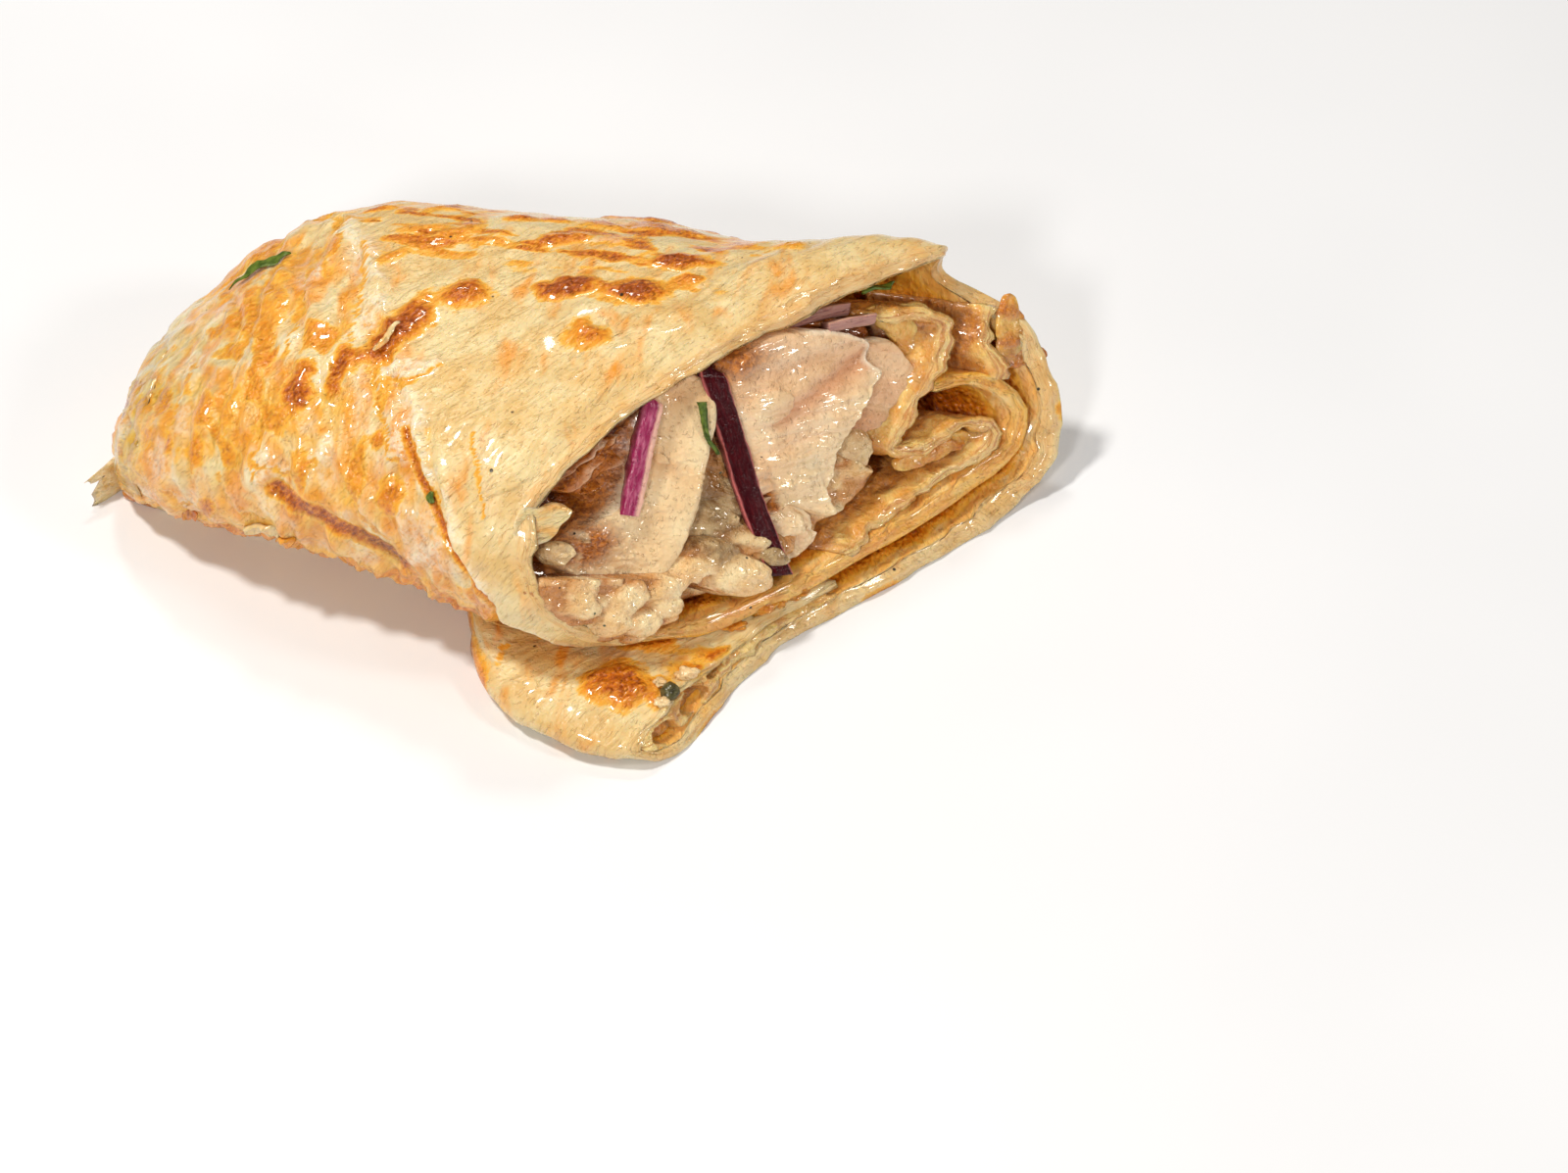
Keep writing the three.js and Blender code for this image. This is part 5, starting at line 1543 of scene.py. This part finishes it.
def sauce_front():
    """The creamy sauce that runs out over the lower lip."""
    outline = [
        (-35.4, 26.3), (-31.2, 24.0), (-27.3, 21.2), (-23.2, 19.0), (-21.2, 19.4), (-18.4, 20.5),
        (-15.3, 20.6), (-14.2, 19.8), (-12.9, 16.7), (-12.3, 14.3), (-12.6, 11.4), (-13.6, 9.6),
        (-15.4, 9.8), (-17.3, 10.3), (-19.0, 11.9), (-19.8, 14.0), (-20.9, 15.9), (-22.8, 16.0),
        (-24.1, 15.4), (-25.0, 13.4), (-26.6, 11.6), (-28.2, 11.9), (-29.8, 12.6), (-32.0, 11.9),
        (-33.4, 13.4), (-35.2, 14.6), (-35.2, 17.4), (-37.2, 18.8), (-37.6, 21.6), (-37.6, 25.0),
    ]

    def surface(flat, inset):
        y, z = flat.T
        total = np.ones(len(flat))
        uneven = 0.12 * noise(stack(y, z, 0.0), 2.2, 211)
        for mark_y, mark_z, length, width, turn, out in FRONT_LUMPS:
            reach = reach_to(y - mark_y, z - mark_z, length, width, turn) + uneven
            total = total + np.exp(MERGE * out * np.sqrt(unit(1.15 - reach**2))) - 1
        small, broad = rough_flat(flat, 1.8, 2, 213), rough_flat(flat, 3.6, 2, 215)
        height = np.log(total) / MERGE * 1.15 + 0.5 * creased(small, 0.15) + 0.25 * broad
        # Hollows between the lumps are tinted brown and the deepest are made dark: painted shade.
        hollow = unit(1.1 - 0.75 * height - 0.5 * small)
        grey = 0.8 * ease((z - 15.5) / 3.0) * ease((y + 20) / 3.0)
        return height, stack(unit(0.85 * hollow), 0.35 * ease((hollow - 0.7) / 0.3), grey, 1.0)
    return chunk_piece(outline, -1.2, 0.4, 4.6, surface, 480, 70, 214, 0.35, 1.4, 6, 1, 0.7, (-22.5, 17.6))


AMBER, BROWN, CRISP = (0.1, 0.7, 0.2, 0.0), (0.5, 0.8, 0.0, 0.0), (0.75, 0.9, 0.0, 0.0)

# Torn bits of the inner layers at the mouth: outline, sink, dome, depth, looks and seed, then the height
# and size of their lumps, their rounding and how ragged they are.
TORN_BITS = [
    ([(24, 37.4), (29.7, 33.8), (32.1, 30.8), (31.3, 28.8), (27.3, 25.7), (22.8, 22.9), (19.4, 20.5),
      (19.5, 24.3), (22.9, 27.7), (23.6, 32)], 3.2, 0.8, 1.2, AMBER, 431, 0.3, 4.0, 0.7, 0.5),
    ([(38.2, 31.2), (37.8, 26.7), (36.2, 23.8), (33.6, 22.0), (31.4, 22.9), (33.2, 26), (35.6, 29.3)],
     -0.4, 0.3, 0.8, BROWN, 433, 0.3, 2.0, 0.4, 0.6),
    ([(28.9, 23.5), (35.1, 23.6), (37.1, 21.8), (37.1, 19.3), (32.9, 20.1), (28.7, 22.1)],
     0.2, 0.5, 1.6, CRISP, 435, 0.5, 1.6, 0.5, 0.6),
    ([(12.3, 15.6), (16.5, 15.9), (21, 15.2), (22.8, 13.9), (20.5, 12.9), (15.5, 13.1), (12, 13.8)],
     1.2, 0.9, 2.0, BROWN, 437, 0.7, 1.5),
    ([(13.0, 21.6), (15.4, 20.6), (17.2, 18.8), (15.0, 16.4), (12.6, 16.4), (11.8, 18.9)],
     3.4, 0.8, 2.5, BROWNED, 439, 0.8, 1.6, 0.5, 0.3),
]
# Lumps of sauce at the mouth in the same order, and drips on the near fold: row, x, three radii and turn.
SAUCE_BITS = [
    ([(-31.2, 29.4), (-29.6, 29.5), (-28.8, 28.0), (-29.8, 26.8), (-31.6, 26.0), (-32.0, 27.6)],
     1.0, 0.8, 3.0, (0.1, 0.0, 0.4, 1.0), 455, 0.6, 1.2, 0.6, 0.2),
    ([(9.9, 23.0), (11.9, 22.9), (12.4, 20.2), (11.2, 17.9), (8.7, 16.6), (7.8, 18.2), (7.6, 20.4)],
     2.6, 1.4, 3.0, (0.2, 0.0, 0.3, 1.0), 457, 0.4, 1.6, 0.8, 0.2),
]
DRIPS = [
    (28.70, 94.7, (1.2, 0.9, 0.7), 30), (29.48, 97.2, (1.7, 1.2, 0.9), 10), (29.1, 93.6, (1.0, 0.8, 0.5), 0),
]


def torn_plies():
    """Torn bits of the inner layers at the mouth."""
    return join(*[mouth_bit(*bit) for bit in TORN_BITS])


def sauce_lumps():
    """The sauce that has run out, lumps of it at the mouth and drips on the near fold."""
    lumps = [mouth_bit(*bit) for bit in SAUCE_BITS]
    return join(sauce_front(), *lumps, *pebbles(DRIPS, 531, (0.1, 0.0, 0.0, 1.0), 0.4))


LEAF_OUTLINE = [
    (-5.4, -0.5), (-3.4, -0.4), (-2.4, 0.4), (-0.8, 0.9), (1.2, 1.0), (3.4, 0.5), (4.4, 0.0), (3.0, -0.6),
    (1.0, -0.9), (-1.2, -0.8), (-3.0, -0.9),
]
SPECK_OUTLINE = [(-0.9, -0.4), (0, -0.7), (1.0, -0.2), (0.7, 0.5), (-0.5, 0.6)]


def top_leaf():
    """The coriander flake near the tail and a speck of it."""
    return join(
        bread_flake(15.2, 16.6, 10, LEAF_OUTLINE, 0.55, 0.18, 0.3, 0.3, 461, GREEN),
        bread_flake(11.72, 56.0, 60, SPECK_OUTLINE, 0.5, 0.1, 0.25, 0.1, 463, GREEN))


def caper():
    """The dark caper or pepper on the near fold."""
    return pebble(on_bread(28.99, 95.6, 0.7), (1.5, 1.5, 1.3), 0, 541, GREEN, 0.15)


def dollop():
    """The pale drop of sauce on the purple strip."""
    return mouth_bit([(-12.0, 15.4), (-10.1, 15.2), (-10.0, 12.7), (-11.6, 12.2), (-12.7, 13.6)],
                     -3.0, 1.0, 2.0, (0.0, 0.0, 1.0, 1.0), 465, 0.4, 1.4, 0.8, 0.2)


# Strips on the cut: path of y, z and how far back it is bent, then sink, width, depth and seed.
PURPLE_STRIP = [(1.6, 42.2, 3.6), (-0.3, 42.0, 1.0), (-1.9, 39.4), (-4.9, 30.6), (-7.1, 24.6),
                (-9.4, 18.9, -0.8), (-12.4, 11.3, -2.0)], -0.9, 2.4, 4, 301
PINK_STRIP = [(-7.4, 41.8, 2.8), (-9.0, 41.2, 0.4), (-13.2, 37.3), (-17.3, 32.7),
              (-21.1, 28.6)], 0.0, 1.8, 3, 302
LONG_STRIP = [(12.6, 40.6), (18, 39.5), (22, 38.1)], 4.4, 2.4, 6, 303
SHORT_STRIP = [(15.6, 39.4), (18.2, 38.6), (21.4, 37.4)], 0.0, 2.0, 4, 304
BLADE_STRIP = [(-5.4, 39.9), (-6.6, 37.6), (-7.8, 35.0), (-8.2, 31.8)], -2.4, 0.75, 0.5, 305


def make_roll():
    """Every piece of the roll, in its material."""
    bread, ply, sauce = bread_material(), ply_material(), sauce_material()
    chicken = chicken_material("chicken", srgb(250, 220, 180), srgb(243, 203, 155), srgb(218, 150, 104))
    shaded = chicken_material(
        "chicken_shaded", srgb(236, 158, 82), srgb(206, 120, 46), srgb(128, 58, 10), 0.4)
    creamy = chicken_material("chicken_creamy", srgb(253, 228, 182), srgb(242, 202, 148), srgb(208, 150, 92))
    purple = onion_material("onion_skin", srgb(58, 4, 13), srgb(228, 128, 128), srgb(88, 12, 20), 0.1, 1.3)
    pink = onion_material("onion_cut", srgb(152, 34, 84), srgb(244, 192, 172), srgb(206, 112, 146), 0.2)
    pale = onion_material("onion_cooked", srgb(190, 142, 130), srgb(222, 180, 150), srgb(156, 104, 108), 0.3)
    herb = herb_material("herb", srgb(106, 126, 46), srgb(60, 82, 20), 0.3)
    dark = herb_material("dark_herb", srgb(104, 100, 62), srgb(58, 54, 34), 0.2)

    add_piece("bread", bread_piece(), bread, "bread", "wrap")
    add_piece("inner_plies", inner_plies(), ply, "bread", "wrap")
    add_piece("fold_core", fold_core(), ply, "bread")
    add_piece("bread_scraps", bread_scraps(), bread, "bread")
    add_piece("filling_mass", filling_mass(), sauce, "sauce", "filling")
    add_piece("chicken_big", large_chicken(), chicken, "chicken", "chicken_large")
    add_piece("chicken_edge", side_chicken(), chicken, "chicken", "chicken_side")
    add_piece("chicken_near", left_chicken(), creamy, "chicken", "chicken_left")
    add_piece("chicken_bit", shred_chicken(), shaded, "chicken", "chicken_shred")
    add_piece("onion_dark", strip_piece(*PURPLE_STRIP), purple, "purple_onion", "onion_purple")
    add_piece("onion_bright", strip_piece(*PINK_STRIP, pale_from=0.16), pink, "pink_onion", "onion_pink")
    add_piece("onion_long", strip_piece(*LONG_STRIP, 0.12), pale, "pale_onion", "onion_pale_long")
    add_piece("onion_short", strip_piece(*SHORT_STRIP, 0.12), pale, "pale_onion", "onion_pale_short")
    add_piece("top_leaf", top_leaf(), herb, "herb")
    add_piece("caper", caper(), dark, "herb")
    add_piece("dollop", dollop(), sauce, "sauce")
    add_piece("blade", strip_piece(*BLADE_STRIP, 0.08, 60, 0.7), herb, "herb", "herb_blade")
    add_piece("leaf", leaf_piece(25.6, 40.2, 4.4, 2.4, 1.0), herb, "herb", "herb_leaf")
    add_piece("torn_plies", torn_plies(), ply, "bread")
    add_piece("rim_tab", rim_tab(), bread, "bread")
    add_piece("sauce_lumps", sauce_lumps(), sauce, "sauce")


# ---- scene ----
FLOOR_SIZE = 3.0  # from the middle to each side, in metres


def make_floor():
    s = Shader("floor")
    at = s.position()
    base = s.mix(s.band(s.noise(at, 0.01, 2.0), 0.3, 0.7), srgb(244, 247, 253), srgb(240, 243, 249))
    material = s.finish(base, 0.6)
    mesh = bpy.data.meshes.new("floor")
    corners = [(x * FLOOR_SIZE, y * FLOOR_SIZE, 0) for x, y in ((-1, -1), (1, -1), (1, 1), (-1, 1))]
    mesh.from_pydata(corners, [], [(0, 1, 2, 3)])
    floor = bpy.data.objects.new("floor", mesh)
    floor.data.materials.append(material)
    bpy.context.scene.collection.objects.link(floor)


def look_at(thing, target):
    direction = Vector(target) - thing.location
    thing.rotation_euler = direction.to_track_quat("-Z", "Y").to_euler()


def make_light(name, place, target, size, power, colour):
    data = bpy.data.lights.new(name, "AREA")
    data.shape = "DISK"
    data.size = size
    data.energy = power
    data.color = colour
    lamp = bpy.data.objects.new(name, data)
    lamp.location = place
    look_at(lamp, target)
    bpy.context.scene.collection.objects.link(lamp)


CAMERA_TARGET = (0.0405, -0.0184, 0.020)
CAMERA_AZIMUTH, CAMERA_ELEVATION, CAMERA_DISTANCE = 12.0, 46.0, 0.8
CAMERA_LENS, SENSOR_WIDTH, CLIP_START = 118.4, 36.0, 0.01


def make_camera():
    azimuth, elevation = math.radians(CAMERA_AZIMUTH), math.radians(CAMERA_ELEVATION)
    level = math.cos(elevation)
    back = Vector((math.sin(azimuth) * level, -math.cos(azimuth) * level, math.sin(elevation)))
    data = bpy.data.cameras.new("camera")
    data.lens = CAMERA_LENS
    data.sensor_width = SENSOR_WIDTH
    data.clip_start = CLIP_START
    camera = bpy.data.objects.new("camera", data)
    camera.location = Vector(CAMERA_TARGET) + back * CAMERA_DISTANCE
    look_at(camera, CAMERA_TARGET)
    bpy.context.scene.collection.objects.link(camera)
    bpy.context.scene.camera = camera


LIGHT_MIDDLE = (0, 0, 0.02)
SUN, WARM = (1.0, 0.95, 0.88), (1.0, 0.96, 0.90)

# Lights: name, place, what they look at, size in m, power in W and colour.
LIGHTS = [
    ("key", (-0.34, -0.06, 0.82), LIGHT_MIDDLE, 0.11, 4.6, (1.0, 0.95, 0.87)),
    ("front", (-0.06, -0.62, 0.52), LIGHT_MIDDLE, 0.12, 2.1, SUN),
    ("right", (0.62, -0.10, 0.52), LIGHT_MIDDLE, 0.12, 1.2, SUN),
    ("back", (-0.14, 0.46, 0.74), LIGHT_MIDDLE, 0.12, 1.3, WARM),
    ("glint", (0.74, -0.26, 0.20), (0.06, -0.01, 0.025), 0.05, 0.45, WARM),
]
SKY, SKY_STRENGTH = (1.0, 0.965, 0.92, 1.0), 0.15


def make_lights():
    for light in LIGHTS:
        make_light(*light)
    world = bpy.data.worlds.new("world")
    world.use_nodes = True
    background = world.node_tree.nodes["Background"]
    background.inputs[0].default_value = SKY
    background.inputs[1].default_value = SKY_STRENGTH
    bpy.context.scene.world = world
    bpy.context.scene.view_settings.view_transform = "Standard"


def main():
    make_roll()
    make_floor()
    make_camera()
    make_lights()


main()
